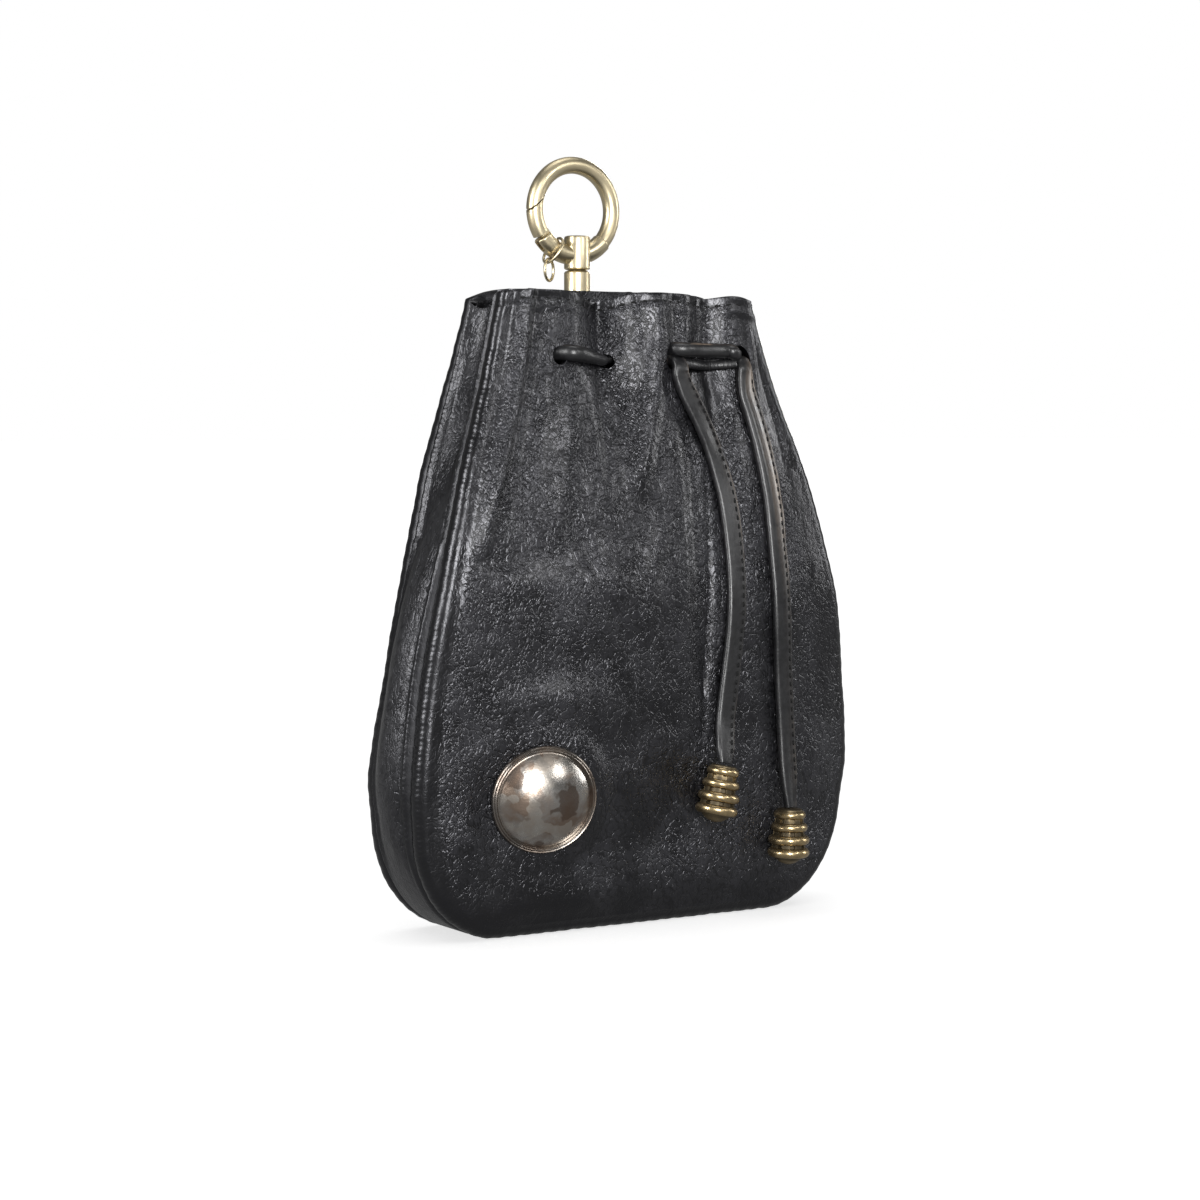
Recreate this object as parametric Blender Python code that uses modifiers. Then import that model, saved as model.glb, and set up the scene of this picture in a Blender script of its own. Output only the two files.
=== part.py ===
"""Drawstring pouch bag of black leather, with a swivel ring, laces, beads and a concho.

Metres, +Z up. The bag stands on its flattened bottom at Z = 0, the front faces -Y
and the origin is at the middle of the bottom.
"""
import math

import bmesh
import bpy
from mathutils import Matrix, Vector

# Pouch
POUCH_HEIGHT = 0.1762
BACK_RISE = 0.0012
HALF_WIDTH = 0.0712
BOTTOM_HALF = 0.044
CORNER_HEIGHT = 0.032
LEATHER = 0.002
CLEARANCE = 0.0003
GUSSET_WIDTH = 0.0198
LEAN = 0.0057
FRONT_BULGE = 0.011
BACK_BULGE = 0.0075
WELT_RADIUS = 0.0036
GUSSET_PUFF = 0.0032
GUSSET_FOLD = 0.0115
WELT_TURN = math.radians(135.0)

# Swivel ring
SWIVEL_Y = 0.0185
RING_SIDE = -0.0013
RING_OUTER = 0.0304
RING_WIRE = 0.0048
RING_SIDES = 12
SLEEVE_WIRE = 0.0055
BARREL_DIAMETER = 0.0075
STUB_TOP = 0.1834
STUB_HEIGHT = 0.0095
BARREL_HEIGHT = 0.0096
POST_RADIUS = 0.0016
POST_HEIGHT = 0.0062
RING_SINK = 0.0072
GATE_TIP_ANGLE = math.radians(172.0)
GATE_HEEL_ANGLE = math.radians(217.0)
SLEEVE_END_ANGLE = math.radians(318.0)
GATE_CUT = math.radians(46.0)
HEEL_RELIEF = math.radians(14.0)
PIN_RADIUS = 0.0005
PIN_INSET = 0.0012
PIN_SET_BACK = 0.0013
TONGUE_THICKNESS = 0.0014
TONGUE_RADIUS = 0.0014
SLOT_WIDTH = 0.002
LINK_RADIUS = 0.00404
LINK_WIRE = 0.00084
LOWER_LINK_RADIUS = 0.0031
LINK_ANGLE = math.radians(240.0)
LINK_TURN = math.radians(54.0)

# Strap that holds the swivel behind the back panel
TAB_WIDTH = 0.010
TAB_LENGTH = 0.028
EYE_WIRE = 0.0026
EYE_HEIGHT = 0.0105
EYE_SIDE_ROOM = 0.0016
RIVET_RADIUS = 0.0018
RIVET_HEAD_RADIUS = 0.0036
RIVET_HEAD = 0.001

# Lace and its beads
LACE_DIAMETER = 0.0036
LACE_WIDTH = 0.0056
LACE_THICKNESS = 0.0022
LACE_DROP = 0.018
LANE = 0.0021
HOLE_REACH = 0.0050
BEAD_DIAMETER = 0.012
BEAD_LENGTH = 0.016
TAIL_RISE_START = 0.78

# Concho
CONCHO_DIAMETER = 0.0300
CONCHO_HEIGHT = 0.0066
CONCHO_X = -0.0352
CONCHO_Z = 0.0386
CONCHO_TURN = math.radians(9.0)
CONCHO_SHANK = 0.002
CONCHO_WASHER = 0.0048

# Side outline above the corner: share of the height, share of the half width
SIDE_OUTLINE = (
    (0.180, 0.987),
    (0.247, 1.000),
    (0.388, 0.971),
    (0.511, 0.924),
    (0.708, 0.798),
    (0.848, 0.680),
    (1.000, 0.582),
)

# Going up the gusset: share of the height, share of its width, share of the welt radius,
# puff outwards as a share of GUSSET_PUFF, fold inwards as a share of GUSSET_FOLD, and
# lean towards the front as a share of LEAN
GUSSET_TABLE = (
    (0.00, 0.90, 1.00, 0.00, 0.00, 0.00),
    (0.15, 0.92, 1.00, 0.55, 0.00, 0.10),
    (0.25, 1.00, 1.00, 0.90, 0.00, 0.25),
    (0.39, 0.82, 1.00, 1.00, 0.00, 0.73),
    (0.51, 0.83, 0.98, 0.80, 0.00, 1.00),
    (0.61, 0.85, 0.94, 0.20, 0.04, 0.84),
    (0.71, 0.87, 0.88, 0.00, 0.25, 0.52),
    (0.85, 0.81, 0.78, 0.00, 0.58, 0.05),
    (1.00, 0.71, 0.66, 0.00, 1.00, -0.08),
)

# Going up the middle of each panel: share of the height, share of the bulge
BULGE_TABLE = (
    (0.00, 0.00),
    (0.08, 0.55),
    (0.18, 0.92),
    (0.30, 1.00),
    (0.50, 0.90),
    (0.70, 0.62),
    (0.86, 0.30),
    (1.00, 0.00),
)

# Gathers of the front: place across as a share of the half width at the rim, drift to the
# side on the way down, half width, depth, share of the height that it runs down
FRONT_GATHERS = (
    (-0.130, 0.010, 0.0062, 0.0056, 0.36),
    (0.120, 0.004, 0.0060, -0.0012, 0.40),
    (0.355, -0.016, 0.0050, 0.0036, 0.62),
    (-0.400, -0.090, 0.0055, -0.0008, 0.40),
)

# Gathers of the back, in the same columns
BACK_GATHERS = (
    (-0.330, 0.010, 0.0060, 0.0022, 0.40),
    (0.330, -0.010, 0.0060, 0.0022, 0.40),
)

# Dents and swells of the front: place across and up as shares of the half width and the
# height, half sizes across and up as the same shares, depth inwards
FRONT_DENTS = (
    (-0.58, 0.580, 0.200, 0.045, 0.0017),
    (-0.20, 0.520, 0.180, 0.065, -0.0012),
    (-0.40, 0.350, 0.160, 0.045, -0.0010),
    (0.40, 0.480, 0.060, 0.260, 0.0009),
)
BACK_DENTS = (
    (0.10, 0.420, 0.300, 0.080, 0.0012),
)

# Notches in the front rim: place across as a share of the half width, half width, depth
RIM_DIPS = (
    (-0.130, 0.0075, 0.0028),
    (0.355, 0.0060, 0.0012),
    (-0.620, 0.0060, 0.0010),
    (0.620, 0.0060, 0.0024),
)

# Dips of the back rim, in the same columns
BACK_RIM_DIPS = (
    (-0.640, 0.0100, 0.0042),
    (0.640, 0.0080, 0.0030),
)

# Faces along the pouch
SIDE_ROWS = 12
CORNER_ROWS = 5
PANEL_COLUMNS = 22
BACK_COLUMNS = 12
WELT_ROWS = 3
GUSSET_STEPS = 6

# Holes of the lace, across, as shares of the half width
FRONT_HOLES = (-0.345, -0.080, 0.165, 0.495)
BACK_HOLES = (-0.42, -0.17, 0.17, 0.42)

# The tails' routes on the front, across and up, in metres
LEFT_TAIL_ROUTE = (
    (0.0120, 0.1530), (0.0138, 0.1485), (0.0175, 0.1410), (0.0218, 0.1310),
    (0.0250, 0.1190), (0.0258, 0.1050), (0.0254, 0.0900), (0.0240, 0.0740),
    (0.0222, 0.0590), (0.0208, 0.0510), (0.0196, 0.0456),
)
RIGHT_TAIL_ROUTE = (
    (0.0350, 0.1530), (0.0352, 0.1480), (0.0370, 0.1400), (0.0388, 0.1290),
    (0.0400, 0.1170), (0.0404, 0.1030), (0.0412, 0.0870), (0.0424, 0.0710),
    (0.0436, 0.0560), (0.0442, 0.0430), (0.0446, 0.0312),
)
LEFT_BEAD_LEAN = math.radians(-12.0)
RIGHT_BEAD_LEAN = math.radians(-2.0)

# Turned profile of a bead, top to bottom: share of the length, share of the radius
BEAD_PROFILE = (
    (0.000, 0.00), (0.000, 0.58), (0.050, 0.74), (0.150, 0.74), (0.200, 0.60),
    (0.260, 0.78), (0.310, 0.88), (0.370, 0.88), (0.440, 0.70), (0.500, 0.88),
    (0.550, 0.98), (0.610, 0.98), (0.680, 0.78), (0.740, 0.92), (0.790, 1.00),
    (0.850, 0.94), (0.930, 0.64), (1.000, 0.00),
)

# Turned profile of the concho's face, middle to edge: share of the radius, share of height
CONCHO_PROFILE = (
    (0.00, 1.00), (0.22, 0.97), (0.45, 0.85), (0.64, 0.64), (0.78, 0.42), (0.86, 0.27),
    (0.90, 0.25), (0.94, 0.31), (0.98, 0.24), (1.00, 0.12), (0.97, 0.00),
)


def table_value(rows, at, column):
    """Smooth value of one column of a table, at a place given in its first column."""
    if at <= rows[0][0]:
        return rows[0][column]
    if at >= rows[-1][0]:
        return rows[-1][column]
    last = len(rows) - 1
    index = max(i for i in range(last) if rows[i][0] <= at)

    def slope(i):
        low = max(i - 1, 0)
        high = min(i + 1, last)
        return (rows[high][column] - rows[low][column]) / (rows[high][0] - rows[low][0])

    start, end = rows[index], rows[index + 1]
    span = end[0] - start[0]
    t = (at - start[0]) / span
    rise = (
        start[column] * (1 + 2 * t) * (1 - t) ** 2
        + end[column] * t * t * (3 - 2 * t)
        + span * (slope(index) * t * (1 - t) ** 2 - slope(index + 1) * t * t * (1 - t))
    )
    return rise


def ease(t):
    """Smooth step from 0 to 1."""
    t = min(max(t, 0.0), 1.0)
    return t * t * (3 - 2 * t)


def half_width(z):
    """Half the pouch's width at a height, seen from the front."""
    if z < CORNER_HEIGHT:
        side = HALF_WIDTH * SIDE_OUTLINE[0][1]
        down = (CORNER_HEIGHT - z) / CORNER_HEIGHT
        return BOTTOM_HALF + (side - BOTTOM_HALF) * math.sqrt(max(1 - down * down, 0.0))
    return HALF_WIDTH * table_value(SIDE_OUTLINE, z / POUCH_HEIGHT, 1)


def gusset_half(z):
    """Half the distance between the two seams at a height."""
    return 0.5 * GUSSET_WIDTH * table_value(GUSSET_TABLE, z / POUCH_HEIGHT, 1)


def welt_radius(z):
    return WELT_RADIUS * table_value(GUSSET_TABLE, z / POUCH_HEIGHT, 2)


def gusset_swell(z):
    """How far the middle of the gusset stands outside its seams."""
    share = z / POUCH_HEIGHT
    puff = GUSSET_PUFF * table_value(GUSSET_TABLE, share, 3)
    return puff - GUSSET_FOLD * table_value(GUSSET_TABLE, share, 4)


def lean(z):
    """How far the middle of the gusset lies in front of the middle plane."""
    return LEAN * table_value(GUSSET_TABLE, z / POUCH_HEIGHT, 5)


def edge_depth(z):
    """Distance of a panel's flat edge from the middle plane, before its welt rolls back."""
    return gusset_half(z) + welt_radius(z) * (1 - math.cos(WELT_TURN))


def gather_depth(gathers, x, z):
    total = 0.0
    for across, drift, width, depth, reach in gathers:
        down = (POUCH_HEIGHT - z) / (reach * POUCH_HEIGHT)
        centre = HALF_WIDTH * (across + drift * down)
        spread = width * (1 + 0.5 * max(down, 0.0))
        fade = 1 - ease(down)
        total += depth * fade * math.exp(-((x - centre) / spread) ** 2)
    return total


def dent_depth(dents, x, z):
    total = 0.0
    for across, up, half_x, half_z, depth in dents:
        dx = (x - across * HALF_WIDTH) / (half_x * HALF_WIDTH)
        dz = (z - up * POUCH_HEIGHT) / (half_z * POUCH_HEIGHT)
        total += depth * math.exp(-dx * dx - dz * dz)
    return total


def panel_depth(x, z, bulge, gathers, dents):
    """Distance of a panel's outer face from the middle plane."""
    share = min(abs(x) / (half_width(max(z, WELT_RADIUS)) - WELT_RADIUS), 1.0)
    across = 1 - share ** 2.8
    up = table_value(BULGE_TABLE, z / POUCH_HEIGHT, 1)
    swell = (bulge - WELT_RADIUS * (1 - math.cos(WELT_TURN))) * up
    relief = gather_depth(gathers, x, z) + dent_depth(dents, x, z)
    hold = ease((1 - share) / 0.10) * ease(z / (2.5 * WELT_RADIUS))
    return edge_depth(z) + swell * across - relief * hold


def bare_front_depth(x, z):
    return lean(z) + panel_depth(x, z, FRONT_BULGE, FRONT_GATHERS, FRONT_DENTS)


def concho_seat():
    """Middle of the leather under the concho, and the slopes of its flat."""
    step = 0.004
    depth = bare_front_depth(CONCHO_X, CONCHO_Z)
    slope_x = (bare_front_depth(CONCHO_X + step, CONCHO_Z)
               - bare_front_depth(CONCHO_X - step, CONCHO_Z)) / (2 * step)
    slope_z = (bare_front_depth(CONCHO_X, CONCHO_Z + step)
               - bare_front_depth(CONCHO_X, CONCHO_Z - step)) / (2 * step)
    return depth, slope_x + math.tan(CONCHO_TURN), slope_z


SEAT = concho_seat()


def front_depth(x, z):
    """Outer face of the front panel, pulled flat under the concho."""
    depth = bare_front_depth(x, z)
    radius = 0.5 * CONCHO_DIAMETER
    away = math.hypot(x - CONCHO_X, z - CONCHO_Z)
    flat = SEAT[0] + SEAT[1] * (x - CONCHO_X) + SEAT[2] * (z - CONCHO_Z)
    return depth + (flat - depth) * (1 - ease((away - 0.95 * radius) / (0.6 * radius)))


def back_depth(x, z):
    return -lean(z) + panel_depth(x, z, BACK_BULGE, BACK_GATHERS, BACK_DENTS)


def rim_height(x, z, front):
    """Height of a row of the panel, which the rim's notches pull down."""
    near_rim = ease((z / POUCH_HEIGHT - 0.80) / 0.20)
    dips = RIM_DIPS if front else BACK_RIM_DIPS
    drop = 0.0 if front else -BACK_RISE
    for across, width, depth in dips:
        drop += depth * math.exp(-((x - across * HALF_WIDTH) / width) ** 2)
    return z - drop * near_rim


def new_object(name, mesh, collection, material=None):
    thing = bpy.data.objects.new(name, mesh)
    collection.objects.link(thing)
    if material is not None:
        mesh.materials.append(material)
    return thing


def mesh_from(bm, name, smooth=True):
    bmesh.ops.recalc_face_normals(bm, faces=bm.faces)
    mesh = bpy.data.meshes.new(name)
    bm.to_mesh(mesh)
    bm.free()
    if smooth:
        mesh.shade_smooth()
        mesh.set_sharp_from_angle(angle=math.radians(40.0))
    return mesh


def make_material(name, colour, roughness, metallic):
    material = bpy.data.materials.new(name)
    material.use_nodes = True
    shader = material.node_tree.nodes["Principled BSDF"]
    shader.inputs["Base Color"].default_value = (*colour, 1.0)
    shader.inputs["Roughness"].default_value = roughness
    shader.inputs["Metallic"].default_value = metallic
    return material


def side_rows():
    """Heights of the rows above the corners, top to bottom."""
    drop = POUCH_HEIGHT - CORNER_HEIGHT
    return [POUCH_HEIGHT - drop * i / SIDE_ROWS for i in range(SIDE_ROWS)]


def outline_side(inset):
    """One side of the outline from the rim to the bottom, at a distance inside it."""
    points = [(half_width(z) - inset, z) for z in side_rows()]
    wide = HALF_WIDTH * SIDE_OUTLINE[0][1] - BOTTOM_HALF - inset
    tall = CORNER_HEIGHT - inset
    for i in range(CORNER_ROWS + 1):
        turn = 0.5 * math.pi * i / CORNER_ROWS
        points.append((BOTTOM_HALF + wide * math.cos(turn), CORNER_HEIGHT - tall * math.sin(turn)))
    return points


def outline(inset, columns):
    """The whole outline, from the left rim round the bottom to the right rim."""
    side = outline_side(inset)
    left = [(-x, z) for x, z in side]
    bottom = [(BOTTOM_HALF * (2 * i / columns - 1), inset) for i in range(1, columns)]
    return left + bottom + side[::-1]


def panel_mesh(name, columns, depth_at, front):
    """A panel: rows across its face, and a welt that rolls back to the seam."""
    bm = bmesh.new()
    toward = -1.0 if front else 1.0
    rows = []
    for x_edge, z_edge in outline_side(WELT_RADIUS):
        row = []
        for i in range(columns + 1):
            x = x_edge * (2 * i / columns - 1)
            z = rim_height(x, z_edge, front)
            row.append(bm.verts.new((x, toward * depth_at(x, z_edge), z)))
        rows.append(row)
    for upper, lower in zip(rows, rows[1:]):
        for i in range(columns):
            bm.faces.new((upper[i], upper[i + 1], lower[i + 1], lower[i]))
    ring = [row[0] for row in rows] + rows[-1][1:-1] + [row[-1] for row in rows[::-1]]
    for step in range(1, WELT_ROWS + 1):
        turn = WELT_TURN * step / WELT_ROWS
        new_ring = []
        flats = outline(WELT_RADIUS, columns)
        edges = outline(0.0, columns)
        for (x_in, z_in), (x_out, z_out) in zip(flats, edges):
            out = 1 - (1 - math.sin(turn)) * welt_radius(z_in) / WELT_RADIUS
            x = x_in + (x_out - x_in) * out
            z = z_in + (z_out - z_in) * out
            y = edge_depth(z_in) - welt_radius(z_in) * (1 - math.cos(turn))
            place = (x, toward * y - lean(z_in), rim_height(x, z, front))
            new_ring.append(bm.verts.new(place))
        for i in range(len(ring) - 1):
            bm.faces.new((ring[i], new_ring[i], new_ring[i + 1], ring[i + 1]))
        ring = new_ring
    mesh = mesh_from(bm, name)
    first = mesh.polygons[0]
    if first.normal.y * toward < 0:
        mesh.flip_normals()
    return mesh


def gusset_mesh(name, columns):
    """The strip between the two panels, folded in near the mouth and flat below."""
    bm = bmesh.new()
    edges = outline(0.0, columns)
    insides = outline(WELT_RADIUS, columns)
    rings = []
    for (x_out, z_out), (x_in, z_in) in zip(edges, insides):
        away = Vector((x_out - x_in, 0.0, z_out - z_in)) / WELT_RADIUS
        radius = welt_radius(z_out)
        edge_inset = radius * (1 - math.sin(WELT_TURN))
        half = gusset_half(z_out) - CLEARANCE
        side_share = ease(z_out / CORNER_HEIGHT * 1.2 - 0.2)
        swell = gusset_swell(z_out) * side_share
        ring = []
        for i in range(GUSSET_STEPS + 1):
            y = half * (2 * i / GUSSET_STEPS - 1)
            inward = 1 - abs(y / half)
            across = 1 - (1 - inward) ** 2.2
            if swell < 0.0:
                across = ease((inward - 0.25) / 0.75)
            flat = -edge_inset * (1 - ease(4 * inward))
            offset = -edge_inset + (edge_inset + swell) * across
            offset = flat * (1 - side_share) + offset * side_share
            point = Vector((x_out, y - lean(z_out), z_out)) + away * offset
            back_share = 0.5 * (1 + y / half)
            rim_front = rim_height(x_out, point.z, True)
            rim_back = rim_height(x_out, point.z, False)
            point.z = rim_front * (1 - back_share) + rim_back * back_share
            ring.append(bm.verts.new(point))
        rings.append(ring)
    for first, second in zip(rings, rings[1:]):
        for i in range(GUSSET_STEPS):
            bm.faces.new((first[i], first[i + 1], second[i + 1], second[i]))
    mesh = mesh_from(bm, name)
    middle = min(mesh.polygons, key=lambda face: face.center.z)
    if middle.normal.z > 0:
        mesh.flip_normals()
    return mesh


def add_leather(thing):
    wall = thing.modifiers.new("Leather", "SOLIDIFY")
    wall.thickness = LEATHER
    wall.offset = -1.0
    wall.use_even_offset = False


def cut(thing, cutters):
    for cutter in cutters:
        cutter.hide_render = True
        cutter.display_type = "WIRE"
        hole = thing.modifiers.new("Hole", "BOOLEAN")
        hole.operation = "DIFFERENCE"
        hole.object = cutter


def curve_object(name, points, radius, collection, material=None, cyclic=False, sides=2):
    """A round wire along points."""
    curve = bpy.data.curves.new(name, "CURVE")
    curve.dimensions = "3D"
    curve.bevel_depth = radius
    curve.bevel_resolution = sides
    curve.use_fill_caps = not cyclic
    spline = curve.splines.new("POLY")
    spline.points.add(len(points) - 1)
    for place, point in zip(spline.points, points):
        place.co = (*point, 1.0)
    spline.use_cyclic_u = cyclic
    if material is not None:
        curve.materials.append(material)
    thing = bpy.data.objects.new(name, curve)
    collection.objects.link(thing)
    return thing


def meshed(thing, collection):
    """The same piece as a mesh, with its caps welded on."""
    bpy.context.view_layer.update()
    graph = bpy.context.evaluated_depsgraph_get()
    name = thing.name
    mesh = bpy.data.meshes.new_from_object(thing.evaluated_get(graph))
    bm = bmesh.new()
    bm.from_mesh(mesh)
    bmesh.ops.remove_doubles(bm, verts=bm.verts, dist=0.00001)
    bmesh.ops.recalc_face_normals(bm, faces=bm.faces)
    bm.to_mesh(mesh)
    bm.free()
    place = thing.matrix_world.copy()
    bpy.data.objects.remove(thing)
    solid = bpy.data.objects.new(name, mesh)
    solid.matrix_world = place
    collection.objects.link(solid)
    return solid


def smooth_route(points, per_span):
    """Points of a smooth curve through the route's own points."""
    route = [Vector(p) for p in points]
    result = []
    for i in range(len(route) - 1):
        before = route[max(i - 1, 0)]
        start, end = route[i], route[i + 1]
        after = route[min(i + 2, len(route) - 1)]
        for k in range(per_span):
            t = k / per_span
            result.append(0.5 * (2 * start + (end - before) * t
                                 + (2 * before - 5 * start + 4 * end - after) * t * t
                                 + (3 * start - before - 3 * end + after) * t ** 3))
    result.append(route[-1])
    return result


def front_point(x, z, out):
    """A point at a distance outside the front's face, measured square to it."""
    step = 0.001
    slope_x = (front_depth(x + step, z) - front_depth(x - step, z)) / (2 * step)
    slope_z = (front_depth(x, z + step) - front_depth(x, z - step)) / (2 * step)
    normal = Vector((-slope_x, -1.0, -slope_z)).normalized()
    return Vector((x, -front_depth(x, z), z)) + normal * out, normal


def lace_route():
    """The drawstring, from the left tail's hole round the mouth to the right tail's hole."""
    radius = 0.5 * LACE_DIAMETER
    out = radius + 3 * CLEARANCE
    inside = -LEATHER - radius - 4 * CLEARANCE
    middle = 0.5 * (out + inside)
    level = POUCH_HEIGHT - LACE_DROP
    low, high = level - LANE, level + LANE
    holes = [HALF_WIDTH * share for share in FRONT_HOLES]
    rear = [HALF_WIDTH * share for share in BACK_HOLES]
    reach = 1.4 * LACE_DIAMETER
    end_gap = 5 * CLEARANCE
    left_x, left_z = LEFT_TAIL_ROUTE[0]
    right_x, right_z = RIGHT_TAIL_ROUTE[0]

    def front(x, z, off):
        step = 0.5 * LACE_DIAMETER
        slope = (front_depth(x + step, level) - front_depth(x - step, level)) / (2 * step)
        return (x, -front_depth(x, level) - off * math.sqrt(1 + slope * slope), z)

    def back(x, off):
        return (x, back_depth(x, level) + off, level)

    side = half_width(level) - GUSSET_FOLD - 2 * LEATHER - 1.2 * LACE_DIAMETER
    between = 0.5 * (holes[1] + holes[2])
    return [
        front(left_x, left_z + end_gap, out),
        front(holes[2], low, out),
        front(holes[2] - 0.4 * reach, low, middle),
        front(holes[2] - reach, level, inside),
        front(between, level, inside),
        front(holes[1] + reach, level, inside),
        front(holes[1], level, middle),
        front(holes[1] - reach, level, out),
        front(holes[0] + reach, level, out),
        front(holes[0], level, middle),
        front(holes[0] - reach, level, inside),
        (-side, -0.3 * gusset_half(level), level),
        (-side, 0.3 * gusset_half(level), level),
        back(rear[0] - reach, inside),
        back(rear[0], middle),
        back(rear[0] + reach, out),
        back(rear[1] - reach, out),
        back(rear[1], middle),
        back(rear[1] + reach, inside),
        back(rear[2] - reach, inside),
        back(rear[2], middle),
        back(rear[2] + reach, out),
        back(rear[3] - reach, out),
        back(rear[3], middle),
        back(rear[3] + 0.8 * reach, inside),
        (side, 0.4 * gusset_half(level), level),
        (side, -0.1 * gusset_half(level), high),
        front(holes[3] - reach, high, inside),
        front(holes[3] - 0.3 * reach, high, 0.95 * inside),
        front(holes[3] + 0.15 * reach, high, middle),
        front(holes[3] - 0.3 * reach, high, 0.95 * out),
        front(holes[3] - reach, high, out),
        front(holes[2] + 0.8 * reach, high, out),
        front(holes[2], high, middle),
        front(holes[2] + reach, 0.5 * (level + low), inside),
        front(holes[3] - reach, low, inside),
        front(holes[3] - 0.3 * reach, low, middle),
        front(holes[3] + 0.1 * reach, low, out),
        front(right_x, right_z + end_gap, out),
    ]


def make_lace(front, back, parts, cutters, kinds):
    """The lace, and the holes that it passes through."""
    points = smooth_route(lace_route(), 2)
    radius = 0.5 * LACE_DIAMETER
    curve_object("drawstring", points, radius, parts, kinds["lace"])
    level = POUCH_HEIGHT - LACE_DROP
    for wall, depth_at, shares, toward in ((front, front_depth, FRONT_HOLES, -1.0),
                                           (back, back_depth, BACK_HOLES, 1.0)):
        holes = []
        for index, share in enumerate(shares):
            x = HALF_WIDTH * share
            y = toward * (depth_at(x, level) - 0.5 * LEATHER)
            double = wall is front and index >= 2
            tall = LANE + 1.6 * radius if double else 1.5 * radius
            holes.append(oval_hole("lace_hole", HOLE_REACH, tall, (x, y, level), cutters))
        cut(wall, holes)


def oval_hole(name, half_x, half_z, place, collection):
    """An oval cutter through a wall, along Y."""
    thing = cylinder(name, 1.0, 4 * LEATHER, 16, collection)
    shape = Matrix.Rotation(0.5 * math.pi, 4, "X") @ Matrix.Diagonal((half_x, half_z, 1.0, 1.0))
    thing.data.transform(Matrix.Translation(place) @ shape)
    return thing


def flat_strip(name, points, normals, width, thickness, collection, material):
    """A flat lace with rounded edges, along points, lying square to the normals."""
    half, lift = 0.5 * width, 0.5 * thickness
    section = ((-1.0, 0.0), (-0.8, 1.0), (0.8, 1.0), (1.0, 0.0), (0.8, -1.0), (-0.8, -1.0))
    bm = bmesh.new()
    rings = []
    for i, point in enumerate(points):
        along = (points[min(i + 1, len(points) - 1)] - points[max(i - 1, 0)]).normalized()
        side = along.cross(normals[i]).normalized()
        up = side.cross(along)
        rings.append([bm.verts.new(point + side * half * a + up * lift * b) for a, b in section])
    for first, second in zip(rings, rings[1:]):
        for i in range(len(section)):
            k = (i + 1) % len(section)
            bm.faces.new((first[i], first[k], second[k], second[i]))
    bm.faces.new(rings[0])
    bm.faces.new(rings[-1])
    return new_object(name, mesh_from(bm, name), collection, material)


def tail_path(route, bead_y):
    """Points and normals of a tail that lies on the front and rises to its bead."""
    flat = smooth_route([(x, 0.0, z) for x, z in route], 2)
    points, normals = [], []
    for i, place in enumerate(flat):
        point, normal = front_point(place.x, place.z, 0.5 * LACE_THICKNESS + 2 * CLEARANCE)
        rise = ease((i / (len(flat) - 1) - TAIL_RISE_START) / (1 - TAIL_RISE_START))
        point.y += (bead_y - point.y) * rise
        points.append(point)
        normals.append(normal)
    return points, normals


def make_tail(name, route, lean_angle, bead_name, parts, kinds):
    radius = 0.5 * BEAD_DIAMETER
    x, z = route[-1]
    foot_x = x + math.sin(lean_angle) * BEAD_LENGTH
    foot_z = z - math.cos(lean_angle) * BEAD_LENGTH
    middle, normal = front_point(0.5 * (x + foot_x), 0.5 * (z + foot_z), radius + CLEARANCE)
    points, normals = tail_path(route, middle.y)
    flat_strip(name, points, normals, LACE_WIDTH, LACE_THICKNESS, parts, kinds["lace"])
    tilt = 0.5 * LACE_WIDTH * abs(math.sin(lean_angle))
    top = Vector((x, middle.y, z - 2 * CLEARANCE - 0.3 * tilt))
    bead = turned(bead_name, [(BEAD_LENGTH * -down, radius * wide) for down, wide in BEAD_PROFILE],
                  12, parts, kinds["antique"])
    bead.location = top
    bead.rotation_euler = (0.0, -lean_angle, 0.0)
    return bead


def turned(name, profile, steps, collection, material=None):
    """A solid turned round Z from (height, radius) pairs, top to bottom."""
    mesh = bpy.data.meshes.new(name)
    points = [(radius, 0.0, height) for height, radius in profile]
    mesh.from_pydata(points, [(i, i + 1) for i in range(len(points) - 1)], [])
    thing = new_object(name, mesh, collection, material)
    spin = thing.modifiers.new("Turn", "SCREW")
    spin.angle = 2 * math.pi
    spin.steps = steps
    spin.render_steps = steps
    spin.use_merge_vertices = True
    spin.merge_threshold = 0.00001
    spin.use_smooth_shade = True
    return thing


def make_concho(front, parts, cutters, kinds):
    """A domed disc, whose rivet goes through the leather to a washer inside."""
    radius = 0.5 * CONCHO_DIAMETER
    seat = 2 * CLEARANCE
    inner = -LEATHER - 2 * CLEARANCE
    rise = CONCHO_HEIGHT - seat
    profile = [(seat + rise * high, radius * wide) for wide, high in CONCHO_PROFILE]
    profile += [
        (seat, CONCHO_SHANK),
        (inner, CONCHO_SHANK),
        (inner, CONCHO_WASHER),
        (inner - 0.0012, CONCHO_WASHER),
        (inner - 0.0012, 0.0),
    ]
    place, normal = front_point(CONCHO_X, CONCHO_Z, 0.0)
    turn = normal.to_track_quat("Z", "Y").to_matrix().to_4x4()
    concho = turned("concho", profile, 18, parts, kinds["silver"])
    concho.matrix_world = Matrix.Translation(place) @ turn
    hole = cylinder("concho_hole", CONCHO_SHANK + CLEARANCE, 0.012, 16, cutters)
    hole.matrix_world = Matrix.Translation(place) @ turn
    cut(front, [hole])


def cylinder(name, radius, length, sides, collection, material=None):
    """A cylinder along Z, centred on its origin."""
    bm = bmesh.new()
    bmesh.ops.create_cone(bm, cap_ends=True, segments=sides, radius1=radius, radius2=radius,
                          depth=length)
    return new_object(name, mesh_from(bm, name), collection, material)


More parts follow.
